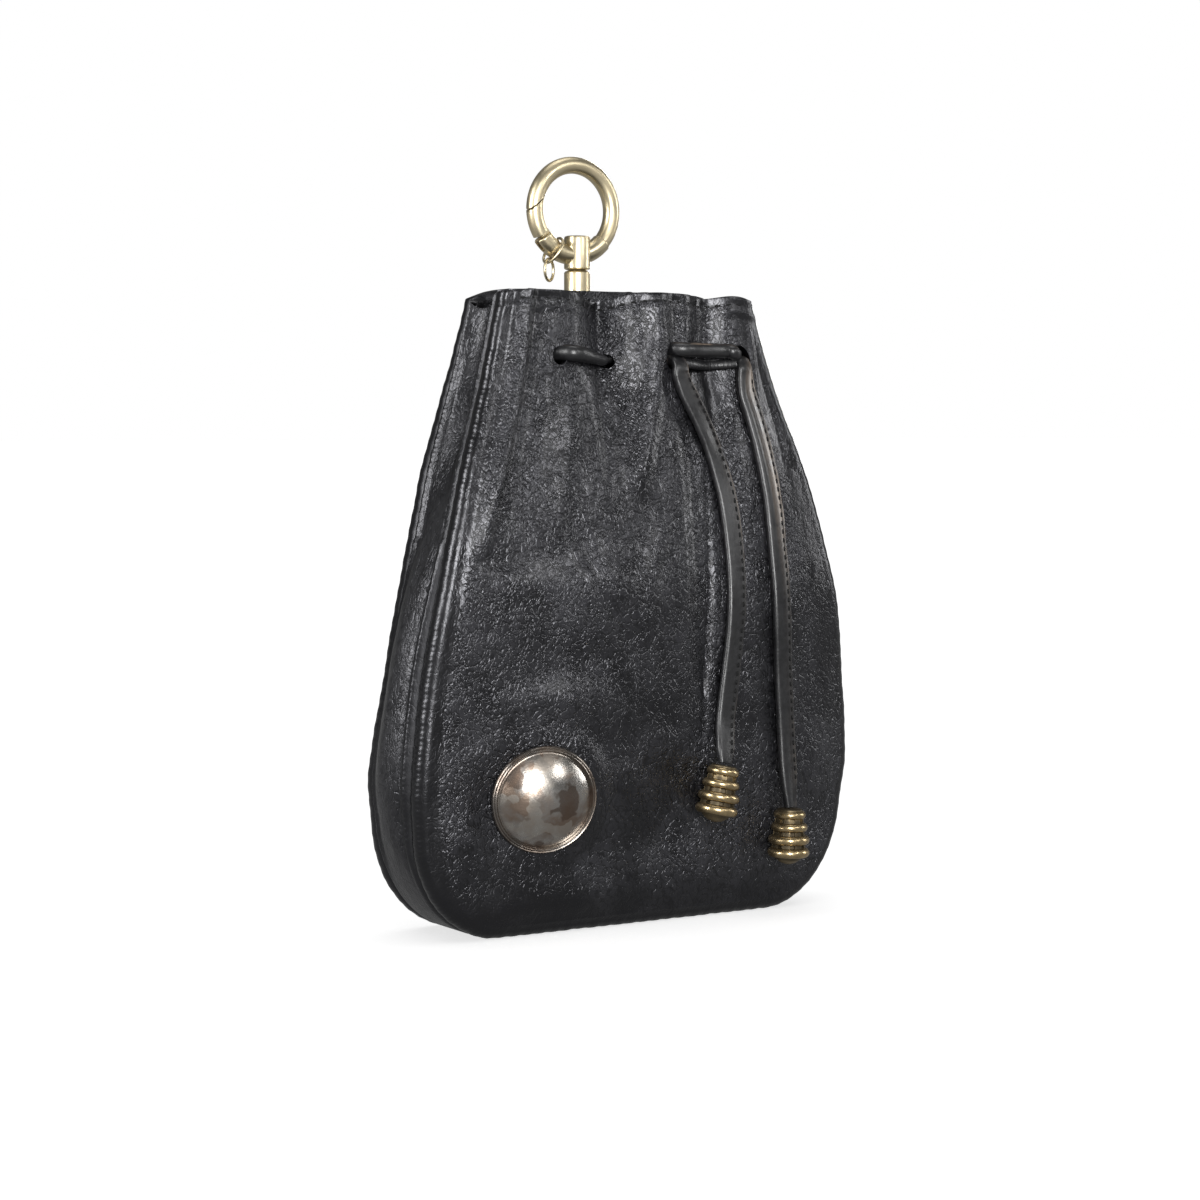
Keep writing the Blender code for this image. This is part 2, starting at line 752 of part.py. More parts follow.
def block(name, size, place, collection, material=None):
    bm = bmesh.new()
    bmesh.ops.create_cube(bm, size=1.0)
    bmesh.ops.scale(bm, vec=size, verts=bm.verts)
    thing = new_object(name, mesh_from(bm, name, smooth=False), collection, material)
    thing.location = place
    return thing


def ring_centre():
    return Vector((RING_SIDE, SWIVEL_Y, STUB_TOP + CLEARANCE + BARREL_HEIGHT + RING_SINK))


def ring_place(radius, angle, y=0.0):
    centre = ring_centre()
    return centre + Vector((radius * math.cos(angle), y, radius * math.sin(angle)))


def ring_arc(name, start, end, wire, start_cut, end_cut, steps, collection, material=None):
    """A stretch of the ring's wire. A cut is the slant of its end, from square."""
    major = 0.5 * (RING_OUTER - RING_WIRE)
    bm = bmesh.new()
    rings = []
    for i in range(steps + 1):
        share = i / steps
        ring = []
        for k in range(RING_SIDES):
            turn = 2 * math.pi * k / RING_SIDES
            outward = 0.5 * wire * math.cos(turn)
            slant = start_cut * (1 - ease(share * 2.0)) + end_cut * ease(share * 2.0 - 1.0)
            angle = start + (end - start) * share + math.tan(slant) * outward / major
            point = ring_place(major + outward, angle, 0.5 * wire * math.sin(turn))
            ring.append(bm.verts.new(point))
        rings.append(ring)
    for first, second in zip(rings, rings[1:]):
        for k in range(RING_SIDES):
            m = (k + 1) % RING_SIDES
            bm.faces.new((first[k], first[m], second[m], second[k]))
    bm.faces.new(rings[0])
    bm.faces.new(rings[-1])
    return new_object(name, mesh_from(bm, name), collection, material)


def join(thing, others):
    for other in others:
        other.hide_render = True
        other.display_type = "WIRE"
        union = thing.modifiers.new("Join", "BOOLEAN")
        union.operation = "UNION"
        union.object = other


def hinge_place():
    """The gate's pin, inside the end of the left sleeve."""
    major = 0.5 * (RING_OUTER - RING_WIRE)
    return ring_place(major - PIN_INSET, GATE_HEEL_ANGLE + PIN_SET_BACK / major)


def make_swivel(parts, cutters, kinds):
    """The swivel's head with its ring, the gate and its pin, and the two small links."""
    major = 0.5 * (RING_OUTER - RING_WIRE)
    gap = CLEARANCE / major
    full = 2 * math.pi
    foot = STUB_TOP + CLEARANCE
    radius = 0.5 * BARREL_DIAMETER
    bore = POST_RADIUS + CLEARANCE
    deep = POST_HEIGHT + CLEARANCE
    edge = 0.0004
    profile = [
        (BARREL_HEIGHT, 0.0), (BARREL_HEIGHT, radius - edge), (BARREL_HEIGHT - edge, radius),
        (edge, radius), (0.0, radius - edge), (0.0, 0.0),
    ]
    head = turned("swivel_head", profile, 20, parts, kinds["brass"])
    head.location = (0.0, SWIVEL_Y, foot)
    wire = ring_arc("ring_wire", SLEEVE_END_ANGLE - full - gap, GATE_TIP_ANGLE, RING_WIRE,
                    0.0, GATE_CUT, 22, cutters)
    sleeve = ring_arc("ring_sleeves", GATE_HEEL_ANGLE, SLEEVE_END_ANGLE, SLEEVE_WIRE,
                      0.0, 0.0, 10, cutters)
    clear_bore = cylinder("post_bore", bore, 2 * deep, 20, cutters)
    clear_bore.location = (0.0, SWIVEL_Y, foot)
    pin_at = hinge_place()
    slot_turn = Matrix.Rotation(-(GATE_HEEL_ANGLE + PIN_SET_BACK / major), 4, "Y")
    slot = block("gate_slot", (2 * SLEEVE_WIRE, SLOT_WIDTH, 2 * (TONGUE_RADIUS + 2 * CLEARANCE)),
                 (0, 0, 0), cutters)
    slot.matrix_world = Matrix.Translation(pin_at) @ slot_turn
    pin_hole = cylinder("pin_hole", PIN_RADIUS + CLEARANCE, 2 * SLEEVE_WIRE, 12, cutters)
    pin_turn = Matrix.Rotation(0.5 * math.pi, 4, "X")
    pin_hole.matrix_world = Matrix.Translation(pin_at) @ pin_turn
    cut(sleeve, [slot, pin_hole])
    join(head, [sleeve, wire])
    cut(head, [clear_bore])
    gate = ring_arc("ring_gate", GATE_TIP_ANGLE + gap * 2.0, GATE_HEEL_ANGLE - gap * 3.0,
                    RING_WIRE, GATE_CUT, HEEL_RELIEF, 8, parts, kinds["brass"])
    tongue = cylinder("gate_tongue", TONGUE_RADIUS, TONGUE_THICKNESS, 14, cutters)
    tongue.matrix_world = Matrix.Translation(pin_at) @ pin_turn
    neck = block("gate_neck", (2 * TONGUE_RADIUS, TONGUE_THICKNESS, 2.2 * TONGUE_RADIUS + PIN_SET_BACK),
                 (0, 0, 0), cutters)
    forward = Matrix.Translation((0.0, 0.0, -(1.1 * TONGUE_RADIUS + 0.5 * PIN_SET_BACK)))
    neck.matrix_world = Matrix.Translation(pin_at) @ slot_turn @ forward
    join(gate, [neck, tongue])
    cut(gate, [pin_hole])
    length = 2 * math.sqrt((0.5 * SLEEVE_WIRE) ** 2 - PIN_INSET ** 2) - 2 * CLEARANCE
    pin = cylinder("gate_pin", PIN_RADIUS, length, 12, parts, kinds["brass"])
    pin.matrix_world = Matrix.Translation(pin_at) @ pin_turn
    make_links(parts, kinds)


def make_links(parts, kinds):
    """Two small links, one round the left sleeve and one hanging through it."""
    major = 0.5 * (RING_OUTER - RING_WIRE)
    inner = LINK_RADIUS - 0.5 * LINK_WIRE
    hang = inner - 0.5 * SLEEVE_WIRE - CLEARANCE
    radial = Vector((math.cos(LINK_ANGLE), 0.0, math.sin(LINK_ANGLE)))
    across = Vector((0.0, 1.0, 0.0))
    upper_centre = ring_place(major, LINK_ANGLE) + radial * hang
    low_wire = upper_centre + radial * LINK_RADIUS
    top_wire = low_wire - radial * (LINK_WIRE + 1.5 * CLEARANCE)
    flat = Vector((math.sin(LINK_TURN), math.cos(LINK_TURN), 0.0))
    lower_centre = top_wire - Vector((0.0, 0.0, LOWER_LINK_RADIUS))
    up = Vector((0.0, 0.0, 1.0))
    for name, size, centre, a, b in (
            ("jump_ring_upper", LINK_RADIUS, upper_centre, across, radial),
            ("jump_ring_lower", LOWER_LINK_RADIUS, lower_centre, flat, up)):
        bpy.ops.mesh.primitive_torus_add(
            major_segments=16, minor_segments=5, major_radius=size,
            minor_radius=0.5 * LINK_WIRE, location=(0, 0, 0))
        link = bpy.context.object
        link.name = name
        link.data.name = name
        for owner in list(link.users_collection):
            owner.objects.unlink(link)
        parts.objects.link(link)
        link.data.materials.append(kinds["brass"])
        link.data.shade_smooth()
        turn = Matrix((a, b, a.cross(b))).transposed().to_4x4()
        link.matrix_world = Matrix.Translation(centre) @ turn


def make_stub(parts, cutters, kinds):
    """The swivel's lower half: a barrel with a post above and a square eye below."""
    radius = 0.5 * BARREL_DIAMETER
    edge = 0.0004
    profile = [
        (POST_HEIGHT, 0.0), (POST_HEIGHT, POST_RADIUS), (0.0, POST_RADIUS),
        (0.0, radius - edge), (-edge, radius), (-STUB_HEIGHT, radius), (-STUB_HEIGHT, 0.0),
    ]
    stub = turned("swivel_stub", profile, 16, parts, kinds["brass"])
    stub.location = (0.0, SWIVEL_Y, STUB_TOP)
    half = 0.5 * TAB_WIDTH + EYE_SIDE_ROOM + 0.5 * EYE_WIRE
    top = STUB_TOP - STUB_HEIGHT - 0.1 * EYE_WIRE
    low = top - EYE_HEIGHT
    bend = EYE_WIRE
    loop = []
    corners = ((half, top), (-half, top), (-half, low), (half, low))
    for index, (x, z) in enumerate(corners):
        inward_x = -math.copysign(bend, x)
        inward_z = -bend if z == top else bend
        for k in range(4):
            turn = 0.5 * math.pi * k / 3
            if index % 2 == 0:
                dx, dz = 1 - math.sin(turn), 1 - math.cos(turn)
            else:
                dx, dz = 1 - math.cos(turn), 1 - math.sin(turn)
            dx, dz = (dz, dx) if index % 2 == 0 else (dz, dx)
            loop.append((x + inward_x * dx, SWIVEL_Y, z + inward_z * dz))
    eye = meshed(curve_object("stub_eye", loop, 0.5 * EYE_WIRE, cutters, cyclic=True), cutters)
    join(stub, [eye])
    return low


def make_tab(bar_z, back, parts, cutters, kinds):
    """A leather strap folded over the eye's low bar and riveted to the back panel."""
    bend = 0.5 * EYE_WIRE + CLEARANCE + 0.5 * LEATHER
    foot = bar_z - TAB_LENGTH
    path = []
    rows = 8
    for i in range(rows + 1):
        z = foot + (bar_z - bend - foot) * i / rows
        near = back_depth(0.0, z) + 2 * CLEARANCE + 0.5 * LEATHER
        share = ease((z - foot) / (bar_z - bend - foot) * 1.4 - 0.4)
        path.append(Vector((0.0, near + (SWIVEL_Y - bend - near) * share, z)))
    turns = 6
    for i in range(turns + 1):
        turn = math.pi * i / turns
        path.append(Vector((0.0, SWIVEL_Y - bend * math.cos(turn), bar_z + bend * math.sin(turn))))
    for i in range(rows, -1, -1):
        low = path[i]
        apart = LEATHER + CLEARANCE
        share = ease((low.z - foot) / (bar_z - bend - foot) * 1.4 - 0.4)
        y = low.y + apart + (2 * bend - apart) * share
        path.append(Vector((0.0, y, low.z)))
    bm = bmesh.new()
    rings = []
    half = 0.5 * TAB_WIDTH
    for i, point in enumerate(path):
        along = (path[min(i + 1, len(path) - 1)] - path[max(i - 1, 0)]).normalized()
        out = along.cross(Vector((1.0, 0.0, 0.0))) * (0.5 * LEATHER)
        ring = [bm.verts.new(point + Vector((half * a, 0.0, 0.0)) + out * b)
                for a, b in ((-1, -1), (1, -1), (1, 1), (-1, 1))]
        rings.append(ring)
    for first, second in zip(rings, rings[1:]):
        for i in range(4):
            k = (i + 1) % 4
            bm.faces.new((first[i], first[k], second[k], second[i]))
    bm.faces.new(rings[0])
    bm.faces.new(rings[-1])
    tab = new_object("hanger_tab", mesh_from(bm, "hanger_tab"), parts, kinds["leather"])
    rivet_z = foot + RIVET_HEAD_RADIUS + 0.0015
    outer = back_depth(0.0, rivet_z) + 2 * LEATHER + 6 * CLEARANCE
    inner = back_depth(0.0, rivet_z) - LEATHER - 3 * CLEARANCE
    profile = [
        (outer + RIVET_HEAD, 0.0), (outer + RIVET_HEAD, 0.6 * RIVET_HEAD_RADIUS),
        (outer, RIVET_HEAD_RADIUS), (outer, RIVET_RADIUS), (inner, RIVET_RADIUS),
        (inner, RIVET_HEAD_RADIUS), (inner - RIVET_HEAD, 0.6 * RIVET_HEAD_RADIUS),
        (inner - RIVET_HEAD, 0.0),
    ]
    back_turn = Matrix.Rotation(-0.5 * math.pi, 4, "X")
    rivet = turned("tab_rivet", profile, 12, parts, kinds["steel"])
    rivet.matrix_world = Matrix.Translation((0.0, 0.0, rivet_z)) @ back_turn
    hole = cylinder("rivet_hole", RIVET_RADIUS + CLEARANCE, 0.014, 14, cutters)
    hole.matrix_world = Matrix.Translation((0.0, 0.5 * (outer + inner), rivet_z)) @ back_turn
    cut(tab, [hole])
    cut(back, [hole])


def materials():
    return {
        "leather": make_material("black leather", (0.048, 0.046, 0.052), 0.42, 0.0),
        "lace": make_material("black lace", (0.031, 0.030, 0.031), 0.5, 0.0),
        "brass": make_material("satin brass", (0.80, 0.70, 0.53), 0.24, 1.0),
        "antique": make_material("antique brass", (0.22, 0.18, 0.13), 0.42, 1.0),
        "silver": make_material("tarnished silver", (0.42, 0.38, 0.33), 0.36, 1.0),
        "steel": make_material("plain steel", (0.55, 0.53, 0.50), 0.35, 1.0),
    }


def main():
    for thing in list(bpy.data.objects):
        bpy.data.objects.remove(thing)
    parts = bpy.data.collections.new("drawstring_pouch_bag")
    cutters = bpy.data.collections.new("cutters")
    bpy.context.scene.collection.children.link(parts)
    bpy.context.scene.collection.children.link(cutters)
    kinds = materials()
    front = new_object("front_panel", panel_mesh("front_panel", PANEL_COLUMNS, front_depth, True),
                       parts, kinds["leather"])
    back = new_object("back_panel", panel_mesh("back_panel", BACK_COLUMNS, back_depth, False),
                      parts, kinds["leather"])
    gusset = new_object("gusset", gusset_mesh("gusset", BACK_COLUMNS), parts, kinds["leather"])
    for thing in (front, back, gusset):
        add_leather(thing)
    make_lace(front, back, parts, cutters, kinds)
    make_tail("lace_tail_left", LEFT_TAIL_ROUTE, LEFT_BEAD_LEAN, "cord_end_left", parts, kinds)
    make_tail("lace_tail_right", RIGHT_TAIL_ROUTE, RIGHT_BEAD_LEAN, "cord_end_right", parts, kinds)
    make_concho(front, parts, cutters, kinds)
    make_swivel(parts, cutters, kinds)
    bar_z = make_stub(parts, cutters, kinds)
    make_tab(bar_z, back, parts, cutters, kinds)


main()
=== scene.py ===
"""Drawstring pouch bag of black leather, with a swivel ring, laces, beads and a concho.

Metres, +Z up. The bag stands on its flattened bottom at Z = 0 and the front faces -Y.
"""
import math

import bmesh
import bpy
import numpy as np
from mathutils import Matrix, Vector, noise


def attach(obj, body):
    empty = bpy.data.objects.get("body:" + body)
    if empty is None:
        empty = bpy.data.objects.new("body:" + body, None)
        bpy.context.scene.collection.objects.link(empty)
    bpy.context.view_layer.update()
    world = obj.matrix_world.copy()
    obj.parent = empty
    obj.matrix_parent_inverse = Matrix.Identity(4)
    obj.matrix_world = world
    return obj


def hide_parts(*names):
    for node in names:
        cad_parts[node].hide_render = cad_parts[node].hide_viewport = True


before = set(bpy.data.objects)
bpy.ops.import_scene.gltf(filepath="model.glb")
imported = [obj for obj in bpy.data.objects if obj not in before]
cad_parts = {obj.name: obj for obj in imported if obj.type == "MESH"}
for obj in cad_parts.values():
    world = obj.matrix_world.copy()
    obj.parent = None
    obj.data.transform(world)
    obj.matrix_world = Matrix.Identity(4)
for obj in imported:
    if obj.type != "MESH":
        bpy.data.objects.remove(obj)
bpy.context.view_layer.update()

# Pouch
POUCH_HEIGHT = 0.1762
BACK_RISE = 0.0012
HALF_WIDTH = 0.0712
BOTTOM_HALF = 0.044
CORNER_HEIGHT = 0.032
LEATHER = 0.002
CLEARANCE = 0.0003
GUSSET_WIDTH = 0.0198
LEAN = 0.0057
FRONT_BULGE = 0.011
BACK_BULGE = 0.0075
WELT_RADIUS = 0.0036
GUSSET_PUFF = 0.0032
GUSSET_FOLD = 0.0115
WELT_TURN = math.radians(135.0)

# Swivel ring
SWIVEL_Y = 0.0185
RING_SIDE = -0.0013
RING_OUTER = 0.0304
RING_WIRE = 0.0048
RING_MAJOR = 0.5 * (RING_OUTER - RING_WIRE)
SLEEVE_WIRE = 0.0055
BARREL_DIAMETER = 0.0075
STUB_TOP = 0.1834
STUB_HEIGHT = 0.0095
BARREL_HEIGHT = 0.0096
POST_RADIUS = 0.0016
RING_SINK = 0.0072
GATE_TIP_ANGLE = math.radians(172.0)
GATE_HEEL_ANGLE = math.radians(217.0)
SLEEVE_END_ANGLE = math.radians(318.0)
GATE_CUT = math.radians(46.0)
HEEL_RELIEF = math.radians(14.0)
PIN_INSET = 0.0012
PIN_SET_BACK = 0.0013
PIN_ANGLE = GATE_HEEL_ANGLE + PIN_SET_BACK / RING_MAJOR
TONGUE_THICKNESS = 0.0014
TONGUE_RADIUS = 0.0014
SLOT_WIDTH = 0.002
LINK_RADIUS = 0.00404
LINK_WIRE = 0.00084
LOWER_LINK_RADIUS = 0.0031
LINK_ANGLE = math.radians(240.0)
LINK_TURN = math.radians(54.0)

# Strap behind the back panel
TAB_WIDTH = 0.010
TAB_LENGTH = 0.028
EYE_WIRE = 0.0026
EYE_HEIGHT = 0.0105
EYE_SIDE_ROOM = 0.0016
RIVET_RADIUS = 0.0018
RIVET_HEAD_RADIUS = 0.0036
RIVET_HEAD = 0.001

# Lace and its beads
LACE_DIAMETER = 0.0036
LACE_REACH = 1.4 * LACE_DIAMETER
LACE_WIDTH = 0.0056
LACE_THICKNESS = 0.0022
LACE_DROP = 0.018
LACE_LEVEL = POUCH_HEIGHT - LACE_DROP
LANE = 0.0021
BEAD_DIAMETER = 0.012
BEAD_LENGTH = 0.016
TAIL_RISE_START = 0.78
TAIL_LEAD = 18
LEFT_BEAD_LEAN = math.radians(-12.0)
RIGHT_BEAD_LEAN = math.radians(-2.0)

# Concho
CONCHO_DIAMETER = 0.0300
CONCHO_HEIGHT = 0.0066
CONCHO_X = -0.0352
CONCHO_Z = 0.0386
CONCHO_TURN = math.radians(9.0)

# Side outline above the corner: share of the height, share of the half width
SIDE_OUTLINE = (
    (0.180, 0.987), (0.247, 1.000), (0.388, 0.971), (0.511, 0.924), (0.708, 0.798),
    (0.848, 0.680), (1.000, 0.582),
)

# Going up the gusset: share of the height, share of its width, share of the welt radius,
# puff outwards, fold inwards and lean to the front, as shares of their own sizes
GUSSET_TABLE = (
    (0.00, 0.90, 1.00, 0.00, 0.00, 0.00),
    (0.15, 0.92, 1.00, 0.55, 0.00, 0.10),
    (0.25, 1.00, 1.00, 0.90, 0.00, 0.25),
    (0.39, 0.82, 1.00, 1.00, 0.00, 0.73),
    (0.51, 0.83, 0.98, 0.80, 0.00, 1.00),
    (0.61, 0.85, 0.94, 0.20, 0.04, 0.84),
    (0.71, 0.87, 0.88, 0.00, 0.25, 0.52),
    (0.85, 0.81, 0.78, 0.00, 0.58, 0.05),
    (1.00, 0.71, 0.66, 0.00, 1.00, -0.08),
)

# Going up the middle of each panel: share of the height, share of the bulge
BULGE_TABLE = (
    (0.00, 0.00), (0.08, 0.55), (0.18, 0.92), (0.30, 1.00), (0.50, 0.90), (0.70, 0.62),
    (0.86, 0.30), (1.00, 0.00),
)

# Gathers: place across, drift on the way down, half width, depth, share of the height
FRONT_GATHERS = (
    (-0.130, 0.010, 0.0062, 0.0056, 0.36),
    (0.120, 0.004, 0.0060, -0.0012, 0.40),
    (0.355, -0.016, 0.0050, 0.0036, 0.62),
    (-0.400, -0.090, 0.0055, -0.0008, 0.40),
)
BACK_GATHERS = (
    (-0.330, 0.010, 0.0060, 0.0022, 0.40),
    (0.330, -0.010, 0.0060, 0.0022, 0.40),
)

# Dents and swells: place across and up, half sizes across and up, depth inwards
FRONT_DENTS = (
    (-0.58, 0.580, 0.200, 0.045, 0.0017),
    (-0.20, 0.520, 0.180, 0.065, -0.0012),
    (-0.40, 0.350, 0.160, 0.045, -0.0010),
    (0.40, 0.480, 0.060, 0.260, 0.0009),
)
BACK_DENTS = (
    (0.10, 0.420, 0.300, 0.080, 0.0012),
)

# Notches in the rims: place across as a share of the half width, half width, depth
RIM_DIPS = (
    (-0.130, 0.0075, 0.0028),
    (0.355, 0.0060, 0.0012),
    (-0.620, 0.0060, 0.0010),
    (0.620, 0.0060, 0.0024),
)
BACK_RIM_DIPS = (
    (-0.640, 0.0100, 0.0042),
    (0.640, 0.0080, 0.0030),
)

# Soft folds of the front: half width, depth inwards, then places across and up in
# millimetres, top to bottom
FRONT_FOLDS = (
    (3.0, 0.80, ((-28.6, 178), (-30.2, 162), (-34.4, 146), (-39.0, 130), (-43.0, 116))),
    (1.5, 0.90, ((-7.4, 178), (-8.6, 163), (-10.5, 152), (-11.9, 140), (-13.0, 126))),
    (3.4, -1.80, ((6.9, 178), (7.3, 163), (4.9, 152), (1.2, 138), (-3.2, 124))),
    (1.8, 0.75, ((12.5, 178), (12.8, 166), (11.5, 152))),
    (2.6, -0.75, ((19.0, 178), (17.1, 167), (16.0, 160))),
    (3.8, 1.65, ((22.0, 165), (16.3, 146), (15.4, 132), (14.8, 113), (14.9, 91), (15.6, 72))),
    (0.7, 0.75, ((19.6, 128), (18.4, 100), (16.6, 63), (15.6, 45), (14.0, 26))),
    (3.4, -0.45, ((-21.0, 150), (-24.5, 136), (-27.0, 124), (-31.0, 112))),
    (2.6, 0.83, ((-27.0, 118), (-22.0, 104), (-17.0, 92), (-9.0, 78))),
    (3.0, -0.68, ((2.0, 112), (-2.0, 98), (-4.0, 86))),
    (0.7, -0.50, ((38.5, 178), (39.6, 166), (40.6, 143), (43.2, 124))),
    (2.4, 0.68, ((43.0, 176), (45.0, 150), (47.6, 128))),
)

# Crest of the shoulder beside the left welt, across and up in millimetres, and its shape
SHOULDER = (
    (-33.6, 178), (-36.8, 160), (-40.2, 146), (-44.6, 133), (-49.6, 118), (-53.8, 104), (-57.0, 86),
)
SHOULDER_WIDTH = 0.0048
SHOULDER_DROP = 0.0034
SHOULDER_HEIGHT = 0.0023

# Soft swells and hollows of the front: across, up, half sizes, depth inwards, in millimetres
FRONT_SWELLS = (
    (-51, 103, 7, 2.2, 0.70),
    (-41, 102, 14, 7.5, -1.30),
    (-42, 97, 12, 5.0, -1.20),
    (-15, 97, 12, 7.0, -1.70),
    (-20, 76, 13, 5.0, 0.94),
    (-34, 66, 14, 4.5, -1.27),
    (-58, 30, 8, 8.0, -1.10),
    (-12, 44, 8, 9.0, -0.90),
    (2, 52, 7, 6.0, -0.80),
    (34, 22, 9, 6.0, -0.70),
    (-56, 56, 7, 9.0, 0.85),
    (-10, 60, 9, 6.0, -0.59),
    (-40, 9, 15, 6.0, -1.60),
    (-38, 24, 14, 6.0, 0.60),
    (-18, 9, 10, 5.0, -1.00),
    (4, 30, 9, 12.0, 1.02),
    (20, 14, 16, 6.0, -0.59),
    (52, 70, 5, 16.0, 0.77),
    (56, 45, 6, 10.0, -0.59),
)

# Holes of the lace: places across as shares of the half width, half widths and half heights
FRONT_HOLES = (-0.352, -0.106, 0.165, 0.495)
FRONT_HOLE_WIDTHS = (0.0023, 0.0021, 0.0034, 0.0034)
FRONT_HOLE_HEIGHTS = (0.0025, 0.0023, 0.0040, 0.0040)
BETWEEN_HOLES = 0.5 * HALF_WIDTH * (FRONT_HOLES[1] - FRONT_HOLES[2]) / LACE_REACH
BACK_HOLES = (-0.42, -0.17, 0.17, 0.42)
BACK_HOLE_WIDTHS = (0.0034,) * 4
BACK_HOLE_HEIGHTS = (0.0025,) * 4

# Stops of the lace round the mouth: hole, shift across in reaches, rise in lanes, depth
LACE_LEFT_STOPS = (
    (2, -0.40, -1.00, "middle"), (2, -1.00, 0.00, "in"), (2, BETWEEN_HOLES, 0.00, "in"),
    (1, 1.00, 0.00, "in"), (1, 0.35, -0.40, "deep in"), (1, -0.05, -0.45, "middle"),
    (1, -0.70, -0.40, "nearly out"), (0, 0.80, 0.30, "out"), (0, 0.15, 0.40, "middle"),
    (0, -0.35, 0.30, "deep in"), (0, -1.00, 0.00, "in"),
)
LACE_BACK_STOPS = (
    (0, -1.0, "in"), (0, 0.0, "middle"), (0, 1.0, "out"),
    (1, -1.0, "out"), (1, 0.0, "middle"), (1, 1.0, "in"),
    (2, -1.0, "in"), (2, 0.0, "middle"), (2, 1.0, "out"),
    (3, -1.0, "out"), (3, 0.0, "middle"), (3, 0.8, "in"),
)
LACE_RIGHT_STOPS = (
    (3, -1.30, 1.00, "in"), (3, -0.75, 0.40, "nearly in"), (3, -0.35, 0.30, "middle"),
    (3, -0.75, 0.80, "nearly out"), (3, -1.30, 1.00, "out"), (2, 0.80, 1.00, "out"),
    (2, 0.00, 1.00, "middle"), (2, 1.00, -0.50, "in"), (3, -1.00, -1.00, "in"),
    (3, -0.30, -1.00, "middle"),
)

# The tails' routes on the front, across and up, in metres
LEFT_TAIL_ROUTE = (
    (0.0120, 0.1530), (0.0138, 0.1485), (0.0175, 0.1410), (0.0218, 0.1310),
    (0.0250, 0.1190), (0.0258, 0.1050), (0.0254, 0.0900), (0.0240, 0.0740),
    (0.0222, 0.0590), (0.0208, 0.0510), (0.0196, 0.0456),
)
RIGHT_TAIL_ROUTE = (
    (0.0350, 0.1530), (0.0352, 0.1480), (0.0370, 0.1400), (0.0388, 0.1290),
    (0.0400, 0.1170), (0.0404, 0.1030), (0.0412, 0.0870), (0.0424, 0.0710),
    (0.0436, 0.0560), (0.0442, 0.0430), (0.0446, 0.0312),
)

# Raw edge of the lace round the mouth
RAW_TURN = 2.05
RAW_START = 0.0150
RAW_END = 0.0235

# Band below the lace, between the two tails
BAND_START = 0.0140
BAND_END = 0.0330
BAND_HALF = 0.0015
BAND_LIFT = 0.0011
BAND_PUCKER = 0.0017
BAND_SAG = 0.0005
BAND_OUT = 0.0009

# Faces of the fine leather
FINE_ROWS = 150
FINE_CORNER_ROWS = 34
FINE_COLUMNS = 150
FINE_WELT_ROWS = 10
FINE_GUSSET_STEPS = 30

# Relief of the fine leather
CREASES = (0.00028, -0.00010, 0.00007)
FRONT_PLEATS = 0.00020
BACK_PLEATS = 0.00035
BACK_WAVES = 0.0008
WELT_SAG = 0.00022
GUSSET_BEAD = 0.0010
GUSSET_GROOVE = 0.00025
GUSSET_PUCKER = 0.00010
GUSSET_LONG_FOLDS = 0.0004
GUSSET_RIM_SUNK = 0.0028
CUT_EDGE_ROUND = 0.0006

# Hem and stitches
HEM_DEPTH = 0.0024
HEM_RAISE = 0.00035
STITCH_PITCH = 0.0031
STITCH_LENGTH = 0.0021
STITCH_RADIUS = 0.00036
TAIL_STITCH_PITCH = 0.0024
TAIL_STITCH_LENGTH = 0.0016
PUCKER_PITCH = 0.0042
PUCKER_DEPTH = 0.00008
RIB_PITCH = 0.0014
SEAM_TUCK = 0.0006


def table_value(rows, at, column):
    """Smooth values of one column of a table, at places given in its first column."""
    keys = np.array([row[0] for row in rows])
    values = np.array([row[column] for row in rows])
    last = len(rows) - 1
    places = np.arange(last + 1)
    low = np.maximum(places - 1, 0)
    high = np.minimum(places + 1, last)
    slopes = (values[high] - values[low]) / (keys[high] - keys[low])
    at = np.clip(np.asarray(at, dtype=float), keys[0], keys[-1])
    index = np.clip(np.searchsorted(keys, at, side="right") - 1, 0, last - 1)
    span = keys[index + 1] - keys[index]
    t = (at - keys[index]) / span
    return (
        values[index] * (1 + 2 * t) * (1 - t) ** 2
        + values[index + 1] * t * t * (3 - 2 * t)
        + span * (slopes[index] * t * (1 - t) ** 2 - slopes[index + 1] * t * t * (1 - t))
    )


def ease(t):
    """Smooth step from 0 to 1."""
    t = np.clip(t, 0.0, 1.0)
    return t * t * (3 - 2 * t)


def half_width(z):
    """Half the pouch's width at a height, seen from the front."""
    z = np.asarray(z, dtype=float)
    side = HALF_WIDTH * SIDE_OUTLINE[0][1]
    down = (CORNER_HEIGHT - z) / CORNER_HEIGHT
    corner = BOTTOM_HALF + (side - BOTTOM_HALF) * np.sqrt(np.maximum(1 - down * down, 0.0))
    above = HALF_WIDTH * table_value(SIDE_OUTLINE, z / POUCH_HEIGHT, 1)
    return np.where(z < CORNER_HEIGHT, corner, above)


def gusset_half(z):
    """Half the distance between the two seams at a height."""
    return 0.5 * GUSSET_WIDTH * table_value(GUSSET_TABLE, z / POUCH_HEIGHT, 1)


def welt_radius(z):
    return WELT_RADIUS * table_value(GUSSET_TABLE, z / POUCH_HEIGHT, 2)


def gusset_swell(z):
    """How far the middle of the gusset stands outside its seams."""
    share = z / POUCH_HEIGHT
    puff = GUSSET_PUFF * table_value(GUSSET_TABLE, share, 3)
    return puff - GUSSET_FOLD * table_value(GUSSET_TABLE, share, 4)


def lean(z):
    """How far the middle of the gusset lies in front of the middle plane."""
    return LEAN * table_value(GUSSET_TABLE, z / POUCH_HEIGHT, 5)


